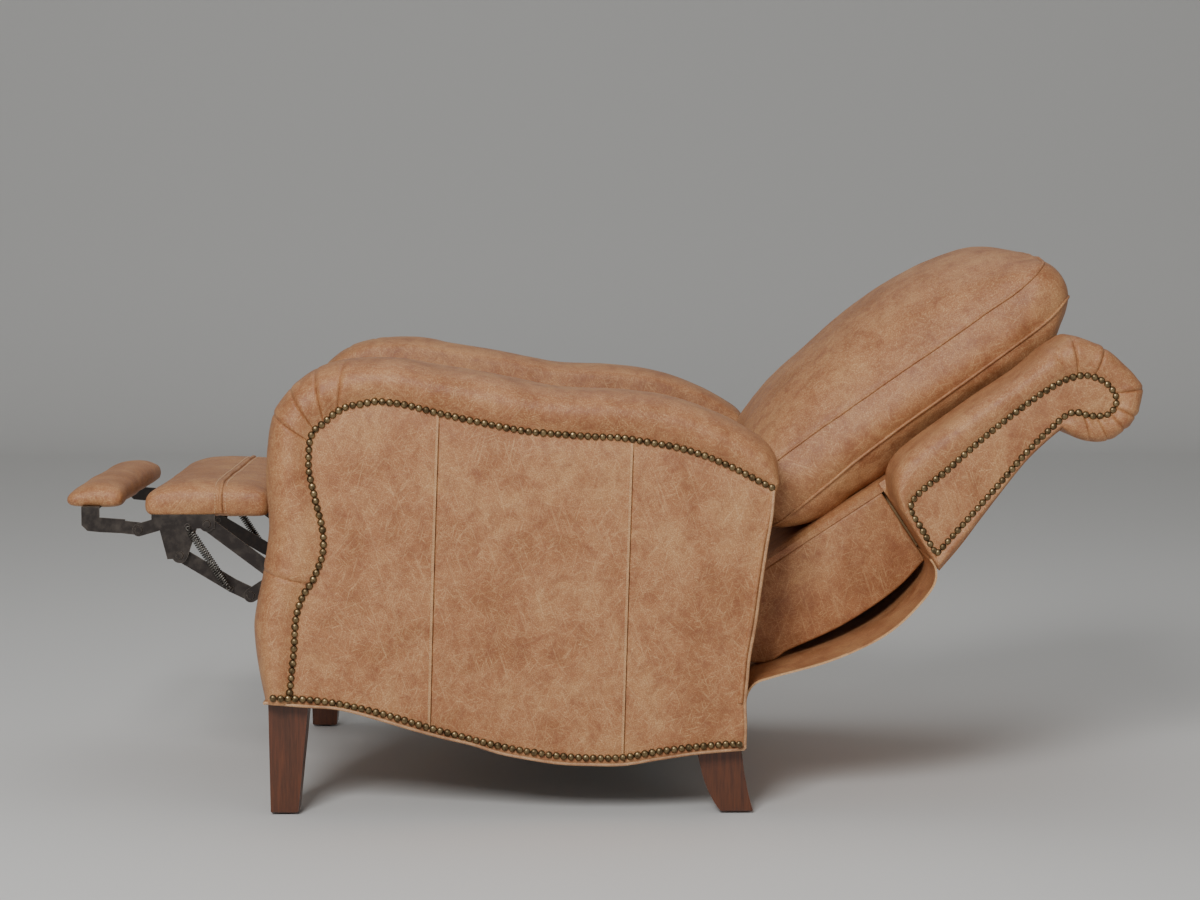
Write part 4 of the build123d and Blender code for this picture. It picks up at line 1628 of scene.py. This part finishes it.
@dataclass
class UpperBack:
    """The upper back: a rolled-over top and two wings, one skin from side to side."""

    finishes: Finishes
    trimmer: Trimmer
    wing_x: float = 253.5
    wing_round: float = 15.0
    nails_x: float = 379.5
    # u and v, from the lower rear corner up the rear, round the scroll and down the front
    rear: tuple = ((280, -50), (324, -37), (372, -19.5), (418, -3), (482, 18), (530, 27), (551, 29))
    scroll: tuple = (
        (551, 29), (560, 7), (578, -14), (601, -27), (632, -27), (655, -20), (671, -8), (689, 10),
    )
    wing_top: tuple = ((689, 10), (688, 36), (683, 59), (676, 84), (666, 104), (641, 134), (612, 137.5))
    wing_front: tuple = (
        (612, 137.5), (601, 137.5), (551, 131), (489, 130), (424, 128), (356, 125), (326, 120),
        (304, 109), (290, 91), (281, 62),
    )
    middle_top: tuple = ((689, 10), (685, 40), (676, 64), (660, 84), (640, 92), (600, 92))
    middle_front: tuple = ((600, 92), (430, 92), (281, 92))
    rear_count: int = 56
    scroll_count: int = 84
    top_count: int = 72
    front_count: int = 80
    foot_count: int = 30
    nail_loop: tuple = (
        (289, -27), (340.5, -13), (428, 11), (482, 27), (534.5, 38), (577, 41), (599, 20), (623, 8.5),
        (643, 20), (644, 49), (626, 75.5), (602, 87), (569, 91), (477, 86.5), (378, 73), (297, 57),
        (292, 18),
    )
    # outline point and facing nail point
    ties: tuple = (
        ((281, -48), (289, -27)), ((424, -1), (428, 11)), ((551, 29), (560, 41.5)),
        ((585, -18), (594, 25)), ((632, -27), (623, 8.5)), ((689, 10), (645, 30)),
        ((673, 92), (635, 67)), ((608, 137.5), (602, 87)), ((480, 130), (477, 86.5)),
        ((380, 127), (378, 73)), ((297, 101), (297, 57)), ((280.5, 20), (292, 20)),
    )
    pleats: tuple = (
        (608, 137.5), (640, 134), (673, 93), (689, 10), (655, -20), (632, -27), (601, -27), (578, -14),
    )
    # share of the way from the outline to the nails, and X
    band: tuple = (
        (0.0, 362.0), (0.02, 369.0), (0.06, 375.0), (0.13, 380.5), (0.24, 385.0), (0.38, 387.5),
        (0.54, 388.0), (0.7, 386.6), (0.83, 384.0), (0.92, 381.6), (1.0, 379.5),
    )

    def loop(self, top: tuple, front: tuple) -> np.ndarray:
        """The closed side outline.

        Args:
            top: Points of its top run.
            front: Points of its front run.

        Returns:
            Rows of u and v, as many for the wing as for the middle.
        """
        foot = np.array((front[-1], self.rear[0]), float)
        runs = (
            (spline(self.rear, 1.0), self.rear_count), (spline(self.scroll, 1.0), self.scroll_count),
            (spline(top, 1.0), self.top_count), (spline(front, 1.0), self.front_count),
            (foot, self.foot_count),
        )
        return np.vstack([divide(line, 0, count)[:-1] for line, count in runs])

    def nails_loop(self) -> np.ndarray:
        """The nail loop, facing the wing's outline row by row.

        Returns:
            Rows of u and v.
        """
        outline = self.loop(self.wing_top, self.wing_front)
        fine = spline((*self.nail_loop, self.nail_loop[0]), 0.5)
        around = len(fine) - 1
        at = [nearest(outline, tie[0]) for tie in self.ties]
        to = [nearest(fine, tie[1]) for tie in self.ties]
        at.append(at[0] + len(outline))
        to.append(to[0] + around)
        for k in range(1, len(to)):
            while to[k] < to[k - 1]:
                to[k] += around
            while at[k] < at[k - 1]:
                at[k] += len(outline)
        repeated = np.vstack([fine[:-1]] * 3)
        rows = np.zeros_like(outline)
        for k in range(len(self.ties)):
            run = divide(repeated[to[k] : to[k + 1] + 1], 0, max(1, at[k + 1] - at[k]))
            for j in range(at[k], at[k + 1]):
                rows[j % len(outline)] = run[j - at[k]]
        return rows

    def stations(self) -> list[tuple[float, Zone, float]]:
        """Lists the rings from the middle out.

        Returns:
            X of each ring, what it follows, and how far: a share, or millimetres on a wing.
        """
        rows = [(x, Zone.MIDDLE, 0.0) for x in (*np.linspace(0, 244, 12), 250.0)]
        rows.append((252.5, Zone.STEP, 0.35))
        for turn in np.radians(np.linspace(0, 90, 7)):
            x = self.wing_x + self.wing_round * (1 - math.cos(turn))
            rows.append((x, Zone.WING, -self.wing_round * (1 - math.sin(turn))))
        rows += [(x, Zone.WING, 0.0) for x in np.linspace(284, 352, 6)]
        return rows + [(x, Zone.BAND, share) for share, x in self.band]

    def build(self) -> list[Piece]:
        """Builds the upper back with its panels and trim.

        Returns:
            The pieces.
        """
        skin = self.skin()
        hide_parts("back_body", "outside_back")
        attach(skin, "back")
        made = [skin]
        for side in Side:
            panel = self.end_panel(side)
            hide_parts(f"back_panel_{side.suffix}")
            nails = self.nail_row(side, skin, panel)
            for piece, slot in ((panel, "leather"), (nails, "mechanism_steel")):
                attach(piece, "back")
            made += [panel, nails]
        welts = self.welts()
        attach(welts, "back")
        return [*made, welts]

    def ring(self, x: float, zone: Zone, amount: float, lines: BackLines) -> list[tuple[float, float, float]]:
        """One ring round the upper back.

        Args:
            x: Its X.
            zone: What it follows.
            amount: How far, as stations says.
            lines: The outlines, the nail loop and the pleats.

        Returns:
            The places of the ring.
        """
        rear_rows = self.rear_count + self.scroll_count
        centre = lines.wing.mean(0)
        ring = []
        for k, (wing, middle, nail) in enumerate(zip(lines.wing, lines.middle, lines.nails)):
            face_x = x
            if zone is Zone.MIDDLE:
                p = middle
            elif zone is Zone.STEP:
                p = wing if k < rear_rows else middle * (1 - amount) + wing * amount
            elif zone is Zone.WING:
                p = wing
                rise = wing - middle
                size = np.linalg.norm(rise)
                if amount < 0 and k >= rear_rows and size > 0.5:
                    p = wing + rise / size * max(amount, -size * 0.45)
            else:
                p = wing * (1 - amount) + nail * amount
                if x > self.nails_x:
                    # a narrow border has less padding
                    face_x = self.nails_x + (x - self.nails_x) * clamp(np.linalg.norm(wing - nail) / 36.0)
            y, z = BACK.world(*p)
            wave = 1.3 * ripple(x, y, z, 90.0, 3.0) + 0.4 * ripple(x, y, z, 26.0, 5.0)
            dent = lines.dent(k) if zone is Zone.BAND or (zone is Zone.WING and x > 330) else 0.0
            if zone is Zone.BAND:
                face_x += dent * math.sin(math.pi * min(1.0, 0.12 + amount * 0.8))
                face_x += wave * 0.6 * (1 - amount * 0.7)
                push = dent * 0.6 * (1 - amount) + wave * max(0.0, 0.7 - amount)
            else:
                push = dent * 0.6 + wave
            out = (p - centre) / (np.linalg.norm(p - centre) + 1e-9)
            ring.append((face_x, *BACK.world(*(p + out * min(push, 1.6)))))
        return ring

    def skin(self) -> Piece:
        """The leather skin with its pleats.

        Returns:
            The piece.
        """
        wing = self.loop(self.wing_top, self.wing_front)
        middle = self.loop(self.middle_top, self.middle_front)
        lines = BackLines(wing, middle, self.nails_loop(), [nearest(wing, pleat) for pleat in self.pleats])
        half = np.array([self.ring(*station, lines) for station in self.stations()])
        other = half[1:][::-1].copy()
        other[:, :, 0] *= -1
        parts = MeshParts()
        parts.loft(np.vstack([other, half]))
        return parts.piece("upper_back_leather", self.finishes.leather, 55)

    def end_panel(self, side: Side) -> Piece:
        """The flat leather panel inside the nail loop.

        Args:
            side: Which wing.

        Returns:
            The piece.
        """
        outline = divide(closed(self.nails_loop()), 6.0)[:-1]
        slab = rounded_slab(BACK.line(outline), 376.5, 381.0, 1.2)
        slab.points = [(side.value * x, y, z) for x, y, z in slab.points]
        return slab.piece(f"back_panel_leather_{side.suffix}", self.finishes.leather, 50)

    def nail_row(self, side: Side, skin: Piece, panel: Piece) -> Piece:
        """The closed row of nails on a wing's outer face.

        Args:
            side: Which wing.
            skin: The leather skin.
            panel: The panel inside the loop.

        Returns:
            The piece.
        """
        line = BACK.line(divide(closed(self.nails_loop()), 3.0))
        laid = seen_from_outside((skin, panel), line, side, 1.2)
        return self.trimmer.lay(Trim.NAILS, f"back_nails_{side.suffix}", [laid])

    def welts(self) -> Piece:
        """Welts where the outside back is sewn to the wings.

        Returns:
            The piece.
        """
        edge_x = 364.0
        run = BACK.line(spline(self.rear, 5.0) - (0.0, 1.0))
        lines = [at_x(side.value * edge_x, run) for side in Side]
        lines.append(np.array([(x, *BACK.world(551.5, 27.5)) for x in np.linspace(-edge_x, edge_x, 60)]))
        return self.trimmer.lay(Trim.SEAM, "back_welts", lines, Radius=2.2 * MM)


@dataclass
class LowerBack:
    """The lower back: two leather-covered boards, the inside back and the flap behind."""

    finishes: Finishes
    board_x: tuple[float, float] = (221.5, 244.8)
    board_line: tuple = ((277, -49), (218, -63), (114, -65), (13, -50))
    board_top: tuple = ((40, 77), (90, 77), (150, 77), (210, 77), (277, 77))
    board_round: float = 51.7
    inside_half: float = 244.5
    inside_u: tuple[float, float] = (40.0, 590.0)
    inside_v: tuple[float, float] = (77.0, 92.4)
    flap_half: float = 370.0
    flap_thickness: float = 3.0
    # the flap hangs from the upper back in its frame, then lies down the rear rail in Y and Z
    flap_high: tuple = (
        (278.5, -30), (278.5, -44), (265, -64), (207, -84), (158, -90), (111, -86), (64, -76),
    )
    flap_low: tuple = ((262, 209), (240, 201), (229, 188), (225, 174), (225, 150), (225, 109))

    def build(self) -> list[Piece]:
        """Builds the boards, the inside back and the flap.

        Returns:
            The pieces.
        """
        made = []
        for side in Side:
            board = self.board(side)
            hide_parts(f"lower_board_{side.suffix}")
            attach(board, "back")
            made.append(board)
        inside = self.inside_back()
        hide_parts("inside_back")
        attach(inside, "back")
        return [*made, inside, self.flap()]

    def board(self, side: Side) -> Piece:
        """One side board with its rounded lower end.

        Args:
            side: Which board.

        Returns:
            The piece.
        """
        low = spline(self.board_line, 6.0)
        turns = np.radians([*np.linspace(-75.0, -180.0, 14), *np.linspace(180.0, 112.0, 10)[1:]])
        end = self.board_round * np.stack([np.cos(turns), np.sin(turns)], 1)
        outline = closed(np.vstack([low[:-1], end, self.board_top]))
        slab = rounded_slab(BACK.line(divide(outline, 6.0)[:-1]), *self.board_x, 4.0)
        slab.points = [
            (side.value * (x + 0.5 * ripple(0, y, z, 70.0, 9.0) * (x > 235)), y, z) for x, y, z in slab.points
        ]
        return slab.piece(f"lower_board_leather_{side.suffix}", self.finishes.leather, 50)

    def inside_back(self) -> Piece:
        """The padded inside back that the cushion lies on.

        Returns:
            The piece.
        """
        half, (first, last), (under, over) = self.inside_half, self.inside_u, self.inside_v
        xs = np.linspace(-half, half, 56)
        upper, lower = [], []
        for u in np.linspace(first, last, 70):
            near = np.minimum(min(u - first, last - u), half - np.abs(xs))
            drop = 6.0 * (1 - np.minimum(1.0, near / 8.0)) ** 2
            upper.append([(x, *BACK.world(u, over - d)) for x, d in zip(xs, drop)])
            lower.append([(x, *BACK.world(u, under)) for x in xs])
        parts = MeshParts()
        parts.sheet(np.array(upper), np.array(lower))
        return parts.piece("inside_back_leather", self.finishes.leather, 50)

    def flap(self) -> Piece:
        """The loose leather flap from the upper back down behind the rear rail.

        Returns:
            The piece.
        """
        spacing = 6.0
        centre = spline([*BACK.line(self.flap_high), *self.flap_low], spacing)
        tangent = np.gradient(centre, axis=0)
        tangent /= np.linalg.norm(tangent, axis=1, keepdims=True)
        normal = np.stack([-tangent[:, 1], tangent[:, 0]], 1)
        length = run_length(centre)[-1]
        xs = np.linspace(-self.flap_half, self.flap_half, 120)
        faces = []
        for lift in (self.flap_thickness / 2, -self.flap_thickness / 2):
            rows = []
            for k, (p, n) in enumerate(zip(centre, normal)):
                loose = math.sin(math.pi * k / (len(centre) - 1)) ** 1.5
                wave = [
                    2.2 * ripple(x, k * spacing, 0, 130.0, 11.0) + 0.8 * math.sin(x / 74.0 + 0.7) for x in xs
                ]
                rows.append([(x, *(p + n * (lift + loose * w))) for x, w in zip(xs, wave)])
            faces.append(np.array(rows))
        parts = MeshParts()
        parts.sheet(*faces)
        flap = parts.piece("back_flap_leather", self.finishes.leather, 50)
        edges = np.array([(s * self.flap_half, *p) for p in centre for s in (-1, 1)])
        mark_wear(flap, edges, 2.2, 0.7)
        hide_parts("back_flap")
        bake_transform(flap)
        return flap


# ------------------------------------------------------------------ cushions and pads


@dataclass
class BoxCushion:
    """A box cushion: crowned faces, a boxing strip between two welts.

    Its lines are given as (along, up), in the back's own frame where it is tilted.
    """

    name: str
    nodes: tuple[str, ...]
    body: str
    finish: Material
    trimmer: Trimmer
    half: float
    start: float
    end: float
    corner: float
    top_welt: tuple
    low_welt: tuple
    top_crown: tuple
    low_crown: tuple
    shrink: float = 5.0
    voxel: float = 6.0
    cap: float = 12.0
    fill: float = 0.8
    tilted: bool = False
    welted: bool = True
    across_power: float = 3.0
    along_power: float = 9.0
    belly_power: float = 26.0
    boxing_puff: float = 4.0
    groove_depth: float = 2.4
    grooves: tuple[float, ...] = ()
    head_bulge: float = 0.0
    head_puff: float = 0.0

    @property
    def middle(self) -> float:
        """Middle of the cushion along its length."""
        return (self.start + self.end) / 2

    @property
    def half_length(self) -> float:
        """Half of the cushion's length."""
        return (self.end - self.start) / 2

    @property
    def welts(self) -> tuple[tuple[tuple, float], ...]:
        """Each welt's line and how far its head end stands out."""
        return ((self.top_welt, 0.0), (self.low_welt, self.head_puff)) if self.welted else ()

    def place(self, x: float, a: float, b: float) -> tuple[float, float, float]:
        """Turns (across, along, up) of the cushion into X, Y, Z."""
        return (x, *BACK.world(a, b)) if self.tilted else (x, a, b)

    def rim(self, share: float, less: float, count: int = 128, puff: float = 0.0) -> np.ndarray:
        """A rounded rectangle in the plan of the cushion, shrunk towards its middle.

        Args:
            share: Scale, 1 at the edge and 0 in the middle.
            less: Millimetres taken off all round at the edge.
            count: Number of points.
            puff: Millimetres that the head end stands further out.

        Returns:
            Rows of across and along.
        """
        half_x, half_a, radius = self.half - less, self.half_length - less, self.corner
        rows = []
        for sx, sa, turn in ((1, 1, 0), (-1, 1, 90), (-1, -1, 180), (1, -1, 270)):
            for a in np.radians(turn + np.linspace(0, 90, 9)):
                x = sx * (half_x - radius) + radius * math.cos(a)
                rows.append((x, sa * (half_a - radius) + radius * math.sin(a)))
        loop = divide(closed(np.array(rows)), 0, count)[:-1] * share
        ahead = np.clip(loop[:, 1] / half_a, 0, 1)
        loop[:, 1] += self.head_bulge * ahead**6 * (1 - (loop[:, 0] / half_x) ** 2) + puff * ahead**8
        return loop + (0.0, self.middle)

    def rise(self, x: float, along: float, across_power: float) -> float:
        """How far a face has swelled at a place.

        Args:
            x: Place across.
            along: Place along.
            across_power: How boxy the face is across.

        Returns:
            A share from 0 at the welts to 1.
        """
        off_x = min(1.0, abs(x) / (self.half - self.shrink))
        off_a = min(1.0, abs(along - self.middle) / (self.half_length - self.shrink))
        return (1 - off_x**across_power) * (1 - off_a**self.along_power)

    def mesh(self) -> MeshParts:
        """The crowned closed form before it is stuffed.

        Returns:
            The closed mesh.
        """
        shares = (1.0, 0.985, 0.965, 0.94, 0.91, 0.87, 0.82, 0.75, 0.66, 0.55, 0.43, 0.3, 0.17, 0.06)
        lines = (self.low_welt, self.low_crown, self.top_welt, self.top_crown)
        low_welt, low_crown, top_welt, top_crown = [spline(line, 4.0) for line in lines]
        rings = []
        for share in shares[::-1]:
            ring = []
            for x, a in self.rim(share, self.shrink, puff=self.head_puff * share**4):
                base = height_at(low_welt, a)
                swell = self.rise(x, a, self.belly_power)
                ring.append(self.place(x, a, base + (height_at(low_crown, a) - base) * swell))
            rings.append(ring)
        for step in (0.2, 0.4, 0.6, 0.8):
            swell = math.sin(math.pi * step)
            ahead = self.head_puff * (1 - step) + 1.3 * self.head_puff * swell
            rings.append([
                self.place(x, a, height_at(low_welt, a) * (1 - step) + height_at(top_welt, a) * step)
                for x, a in self.rim(1.0, self.shrink - self.boxing_puff * swell, puff=ahead)
            ])
        for share in shares:
            ring = []
            for x, a in self.rim(share, self.shrink):
                base = height_at(top_welt, a)
                swell = self.rise(x, a, self.across_power)
                ring.append(self.place(x, a, base + (height_at(top_crown, a) - base) * swell))
            rings.append(ring)
        parts = MeshParts()
        parts.loft(rings)
        return parts

    def build(self) -> list[Piece]:
        """Builds the stuffed cushion with its welts.

        Returns:
            The pieces.
        """
        cushion = self.mesh().piece(self.name + "_leather", self.finish, 180)
        inflate(cushion, self.voxel, self.cap)
        settle(cushion, 5)
        self.tuck(cushion)
        dress(cushion, self.finish, 180)
        detail = cushion.modifiers.new("fine", "SUBSURF")
        detail.levels = detail.render_levels = 1
        fine = evaluated_mesh(cushion)
        cushion.modifiers.clear()
        cushion.data = fine
        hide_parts(*self.nodes)
        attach(cushion, self.body)
        if not self.welted:
            return [cushion]
        lines = [lie_on(cushion, self.welt_line(line, puff), 0.4) for line, puff in self.welts]
        welts = self.trimmer.lay(Trim.SEAM, self.name + "_welts", lines)
        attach(welts, self.body)
        return [cushion, welts]

    def welt_line(self, line: tuple, puff: float) -> np.ndarray:
        """The closed line of a welt before it is laid on the surface.

        Args:
            line: Its points in the side view.
            puff: How far its head end stands out.

        Returns:
            Rows of X, Y and Z.
        """
        fine = spline(line, 4.0)
        loop = closed(self.rim(1.0, 0.0, 320, puff))
        return np.array([self.place(x, a, height_at(fine, a)) for x, a in loop])

    def tuck(self, cushion: Piece) -> None:
        """Pulls the leather in along the welts and grooves and adds soft unevenness.

        Args:
            cushion: The stuffed cushion.
        """
        vertices = cushion.data.vertices
        coords, normals = vectors(vertices, "co"), vectors(vertices, "normal")
        pull = np.zeros(len(coords))
        if self.welted:
            seams = np.vstack([self.welt_line(line, puff) * MM for line, puff in self.welts])
            finder = point_finder(seams)
            gaps = np.array([finder.find(Vector(c))[2] for c in coords]) / MM
            pull += 2.6 * bell(gaps, 9.0)
        for groove in self.grooves:
            pull += self.groove_depth * bell(coords[:, 1] / MM - groove, 2.4)
        wave = [1.4 * ripple(*(c / MM), 75.0, 21.0) + 0.5 * ripple(*(c / MM), 24.0, 23.0) for c in coords]
        coords += normals * ((np.array(wave) - pull) * MM)[:, None]
        vertices.foreach_set("co", coords.reshape(-1))
        cushion.data.update()


@dataclass
class SeatRail:
    """The leather band glued over the front rail of the seat frame."""

    finishes: Finishes
    half: float = 244.5
    band: tuple = ((-490.1, 347.0), (-490.1, 385.8), (-492.4, 385.8), (-492.4, 347.0))

    def build(self) -> list[Piece]:
        """Builds the band.

        Returns:
            The piece.
        """
        slab = rounded_slab(np.array(self.band), -self.half, self.half, 0.8)
        band = slab.piece("seat_rail_leather", self.finishes.leather, 50)
        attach(band, "seat")
        return [band]


@dataclass
class FootrestPads:
    """The two padded boards that slide out in front."""

    finishes: Finishes
    trimmer: Trimmer
    seam_y: float = -584.5
    stitch_gap: float = 7.0
    side_x: float = 254.0
    side_z: tuple[float, float] = (444.0, 488.0)
    fold_radius: float = 3.4

    def build(self) -> list[Piece]:
        """Builds both pads and the seam across the main one.

        Returns:
            The pieces.
        """
        main = BoxCushion(
            "footrest_pad", ("footrest_pad", "footrest_board"), "footrest",
            self.finishes.leather, self.trimmer,
            half=249.0, start=-702.0, end=-511.0, corner=12.0,
            top_welt=((-702, 474), (-660, 480), (-604, 481), (-511, 479)),
            low_welt=((-702, 441), (-604, 440), (-511, 440)),
            top_crown=((-702, 484), (-660, 491), (-604, 493), (-550, 490), (-511, 487)),
            low_crown=((-702, 444), (-604, 445), (-511, 445)),
            shrink=2.0, voxel=4.5, cap=4.0, fill=0.9, welted=False, across_power=16.0, along_power=5.0,
            grooves=(-588.6, -580.4),
        ).build()
        flip = BoxCushion(
            "flip_pad", ("flip_pad", "flip_board"), "flip_out", self.finishes.leather, self.trimmer,
            half=219.0, start=-829.0, end=-742.5, corner=12.0,
            top_welt=((-829, 472), (-790, 479), (-742, 479)),
            low_welt=((-829, 455), (-780, 454), (-742, 454)),
            top_crown=((-829, 478), (-800, 487), (-780, 490), (-760, 490), (-742, 486)),
            low_crown=((-829, 457), (-780, 457), (-742, 457)),
            shrink=2.0, voxel=4.0, cap=4.0, fill=0.9, welted=False, across_power=16.0, along_power=4.5,
        ).build()
        before, middle, behind = [
            lie_on(main[0], self.seam_line(self.seam_y + step * self.stitch_gap), 0.1) for step in (-1, 0, 1)
        ]
        fold = self.trimmer.lay(Trim.SEAM, "footrest_seam", [middle], Radius=self.fold_radius * MM)
        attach(fold, "footrest")
        seam = self.trimmer.lay(Trim.STITCHES, "footrest_stitches", [before, behind])
        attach(seam, "footrest")
        return [*main, *flip, fold, seam]

    def seam_line(self, y: float) -> np.ndarray:
        """A line over the main pad, up one side and down the other.

        Args:
            y: Its Y.

        Returns:
            Rows of X, Y and Z.
        """
        rising = np.linspace(*self.side_z, 14)
        over = [(x, y, 500.0) for x in np.linspace(-240, 240, 160)]
        up = [(-self.side_x, y, z) for z in rising]
        return np.array([*up, *over, *[(self.side_x, y, z) for z in rising[::-1]]])


# ------------------------------------------------------------------ springs


@dataclass
class FootrestSprings:
    """The two close-wound tension springs of the footrest, hooked on their posts."""

    trimmer: Trimmer
    x: float = 250.9
    foot: tuple[float, float] = (-571.0, 329.0)
    head: tuple[float, float] = (-636.0, 428.0)
    radius: float = 5.8
    depth: float = 2.9
    wire: float = 1.1
    pitch: float = 3.6
    hook: float = 9.0
    hook_radius: float = 3.0
    turn_points: int = 10

    def coil(self, side: Side) -> list[np.ndarray]:
        """One spring: a hook, the coil and the other hook.

        Args:
            side: Which side of the footrest.

        Returns:
            Three lines that meet end to end.
        """
        a = np.array([side.value * self.x, *self.foot])
        b = np.array([side.value * self.x, *self.head])
        length = np.linalg.norm(b - a)
        axis, across = (b - a) / length, np.array([1.0, 0.0, 0.0])
        other = np.cross(axis, across)
        body = length - 2 * self.hook
        points = int(body / self.pitch) * self.turn_points
        coil = []
        for k in range(points + 1):
            turn = k / self.turn_points * math.tau
            reach = self.hook + body * k / points
            flat = self.depth * math.cos(turn) * across + self.radius * math.sin(turn) * other
            coil.append(a + axis * reach + flat)
        bends = np.linspace(-2.6, 2.6, 14)
        hooks = [self.hook_radius * (math.sin(t) * other + (1.0 - math.cos(t)) * axis) for t in bends]
        foot_hook = [a + step for step in hooks]
        head_hook = [b - step for step in hooks[::-1]]
        return [np.array([*foot_hook, coil[0]]), np.array(coil), np.array([coil[-1], *head_hook])]

    def build(self) -> list[Piece]:
        """Builds both coils as one piece.

        Returns:
            The piece.
        """
        lines = [line for side in Side for line in self.coil(side)]
        coils = self.trimmer.lay(Trim.WIRE, "footrest_coils", lines, Radius=self.wire * MM)
        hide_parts("footrest_springs")
        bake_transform(coils)
        return [coils]


# ------------------------------------------------------------------ finishes of the CAD nodes


def finish_nodes(finishes: Finishes) -> None:
    """Gives every CAD node that stays its real finish.

    Args:
        finishes: The finishes of the chair.
    """
    wanted = {
        "leg_wood": finishes.leg_wood,
        "frame_wood": finishes.bare_wood,
        "mechanism_steel": finishes.steel,
        "spring_steel": finishes.wire,
        "deck_cloth": finishes.deck,
        "dust_cloth": finishes.dust,
        "glide_plastic": finishes.nylon,
        "leather": finishes.leather,
    }
    for name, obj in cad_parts.items():
        for slot in obj.material_slots:
            key = slot.material.name.split(".")[0] if slot.material else ""
            for word, material in wanted.items():
                if word in key:
                    slot.material = material
                    break
            else:
                LOG.info("no finish for %s: %s", name, key)


# ------------------------------------------------------------------ studio


@dataclass
class Studio:
    """Plain floor, soft lights and the camera. Lengths here are in metres, angles in degrees."""

    eye: tuple[float, float, float] = (4.422, -0.055, 0.922)
    yaw: float = 0.824
    pitch: float = 5.143
    lens_mm: float = 81.0
    sensor_mm: float = 36.0
    floor_half: float = 9.0
    wall_x: float = -6.5
    wall_top: float = 6.0
    sweep: float = 0.9
    floor_tone: str = "#DADAD8"
    lit: tuple[float, float, float] = (0.0, -0.1, 0.4)
    # name, place, size and power
    lamps: tuple = (
        ("key", (4.3, -1.3, 3.2), 1.6, 190.0),
        ("fill", (3.4, 2.6, 1.5), 2.6, 14.0),
        ("top", (-0.6, 0.2, 3.2), 2.4, 18.0),
    )
    sky: tuple[float, float, float, float] = (0.92, 0.91, 0.9, 1.0)
    sky_strength: float = 0.3

    def build(self) -> None:
        """Sets the camera, the floor, the lights and the world."""
        self.camera()
        self.floor()
        self.lights()
        self.world()

    def camera(self) -> None:
        """Places the camera above the arm's height, nearly square to the chair's left side."""
        data = bpy.data.cameras.new("camera")
        data.lens, data.sensor_width = self.lens_mm, self.sensor_mm
        camera = link_object("camera", data)
        yaw, pitch = math.radians(self.yaw), math.radians(self.pitch)
        level = Vector((-math.cos(yaw), math.sin(yaw), 0))
        aim = level * math.cos(pitch) - Vector((0, 0, 1)) * math.sin(pitch)
        camera.location = self.eye
        camera.rotation_euler = aim.to_track_quat("-Z", "Y").to_euler()
        bpy.context.scene.camera = camera

    def floor(self) -> None:
        """Lays the floor with a sweep up to the wall behind."""
        foot_x = self.wall_x + self.sweep
        rows = [(self.floor_half, 0.0), (foot_x, 0.0)]
        for a in np.linspace(0.1, math.pi / 2, 12):
            rows.append((foot_x - self.sweep * math.sin(a), self.sweep - self.sweep * math.cos(a)))
        rows.append((self.wall_x, self.wall_top))
        points = [(x, y, z) for x, z in rows for y in (-self.floor_half, self.floor_half)]
        faces = [(2 * k, 2 * k + 1, 2 * k + 3, 2 * k + 2) for k in range(len(rows) - 1)]
        mesh = bpy.data.meshes.new("floor")
        mesh.from_pydata(points, [], faces)
        floor = link_object("floor", mesh)
        material, _, shader = begin_material("pale studio floor")
        shader.inputs["Base Color"].default_value = linear(self.floor_tone)
        shader.inputs["Roughness"].default_value = 0.7
        dress(floor, material, 180)

    def lights(self) -> None:
        """Hangs a broad key at the upper left, a fill and a soft top light."""
        for name, place, size, power in self.lamps:
            data = bpy.data.lights.new(name, "AREA")
            data.energy, data.size = power, size
            light = link_object(name, data)
            light.location = place
            light.rotation_euler = (Vector(self.lit) - Vector(place)).to_track_quat("-Z", "Y").to_euler()

    def world(self) -> None:
        """Sets the even light that comes from all round."""
        world = bpy.data.worlds.new("studio")
        world.use_nodes = True
        background = world.node_tree.nodes["Background"]
        background.inputs["Color"].default_value = self.sky
        background.inputs["Strength"].default_value = self.sky_strength
        bpy.context.scene.world = world


def main() -> None:
    """Builds the chair piece by piece."""
    Studio().build()
    finishes = Finishes()
    trimmer = Trimmer(finishes)
    finish_nodes(finishes)
    seat = BoxCushion(
        "seat_cushion", ("seat_cushion",), "seat", finishes.leather, trimmer,
        half=250.0, start=-495.0, end=6.0, corner=38.0,
        top_welt=((-495, 474), (-244, 478), (6, 478)),
        low_welt=((-495, 394), (-244, 392), (6, 392)),
        top_crown=((-495, 480), (-400, 492), (-244, 497), (-80, 492), (6, 482)),
        low_crown=((-495, 387.2), (-244, 387.0), (6, 387.2)),
    )
    back = BoxCushion(
        "back_cushion", ("back_cushion",), "back", finishes.leather, trimmer,
        half=248.0, start=95.0, end=687.0, corner=38.0,
        top_welt=((95, 213), (150, 214), (260, 219), (400, 223), (540, 226), (640, 230), (687, 240)),
        low_welt=(
            (95, 118), (150, 125), (230, 134), (320, 142), (430, 148), (540, 153), (640, 157), (687, 163),
        ),
        top_crown=(
            (95, 232), (135, 258), (171, 271), (239, 290), (305, 300), (391, 313), (471, 317), (543, 312),
            (593, 304), (648, 298), (705, 286),
        ),
        low_crown=((95, 98), (150, 86), (260, 86), (400, 92), (540, 96), (600, 102), (640, 114), (687, 146)),
        tilted=True, head_bulge=18.0, head_puff=6.0,
    )
    groups = (
        Arm(Side.LEFT, finishes, trimmer), Arm(Side.RIGHT, finishes, trimmer),
        UpperBack(finishes, trimmer), LowerBack(finishes), seat, back, SeatRail(finishes),
        FootrestPads(finishes, trimmer), FootrestSprings(trimmer),
    )
    for group in groups:
        for piece in group.build():
            LOG.info("%s: %d faces", piece.name, len(piece.data.polygons))
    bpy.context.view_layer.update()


if __name__ == "__main__":
    main()
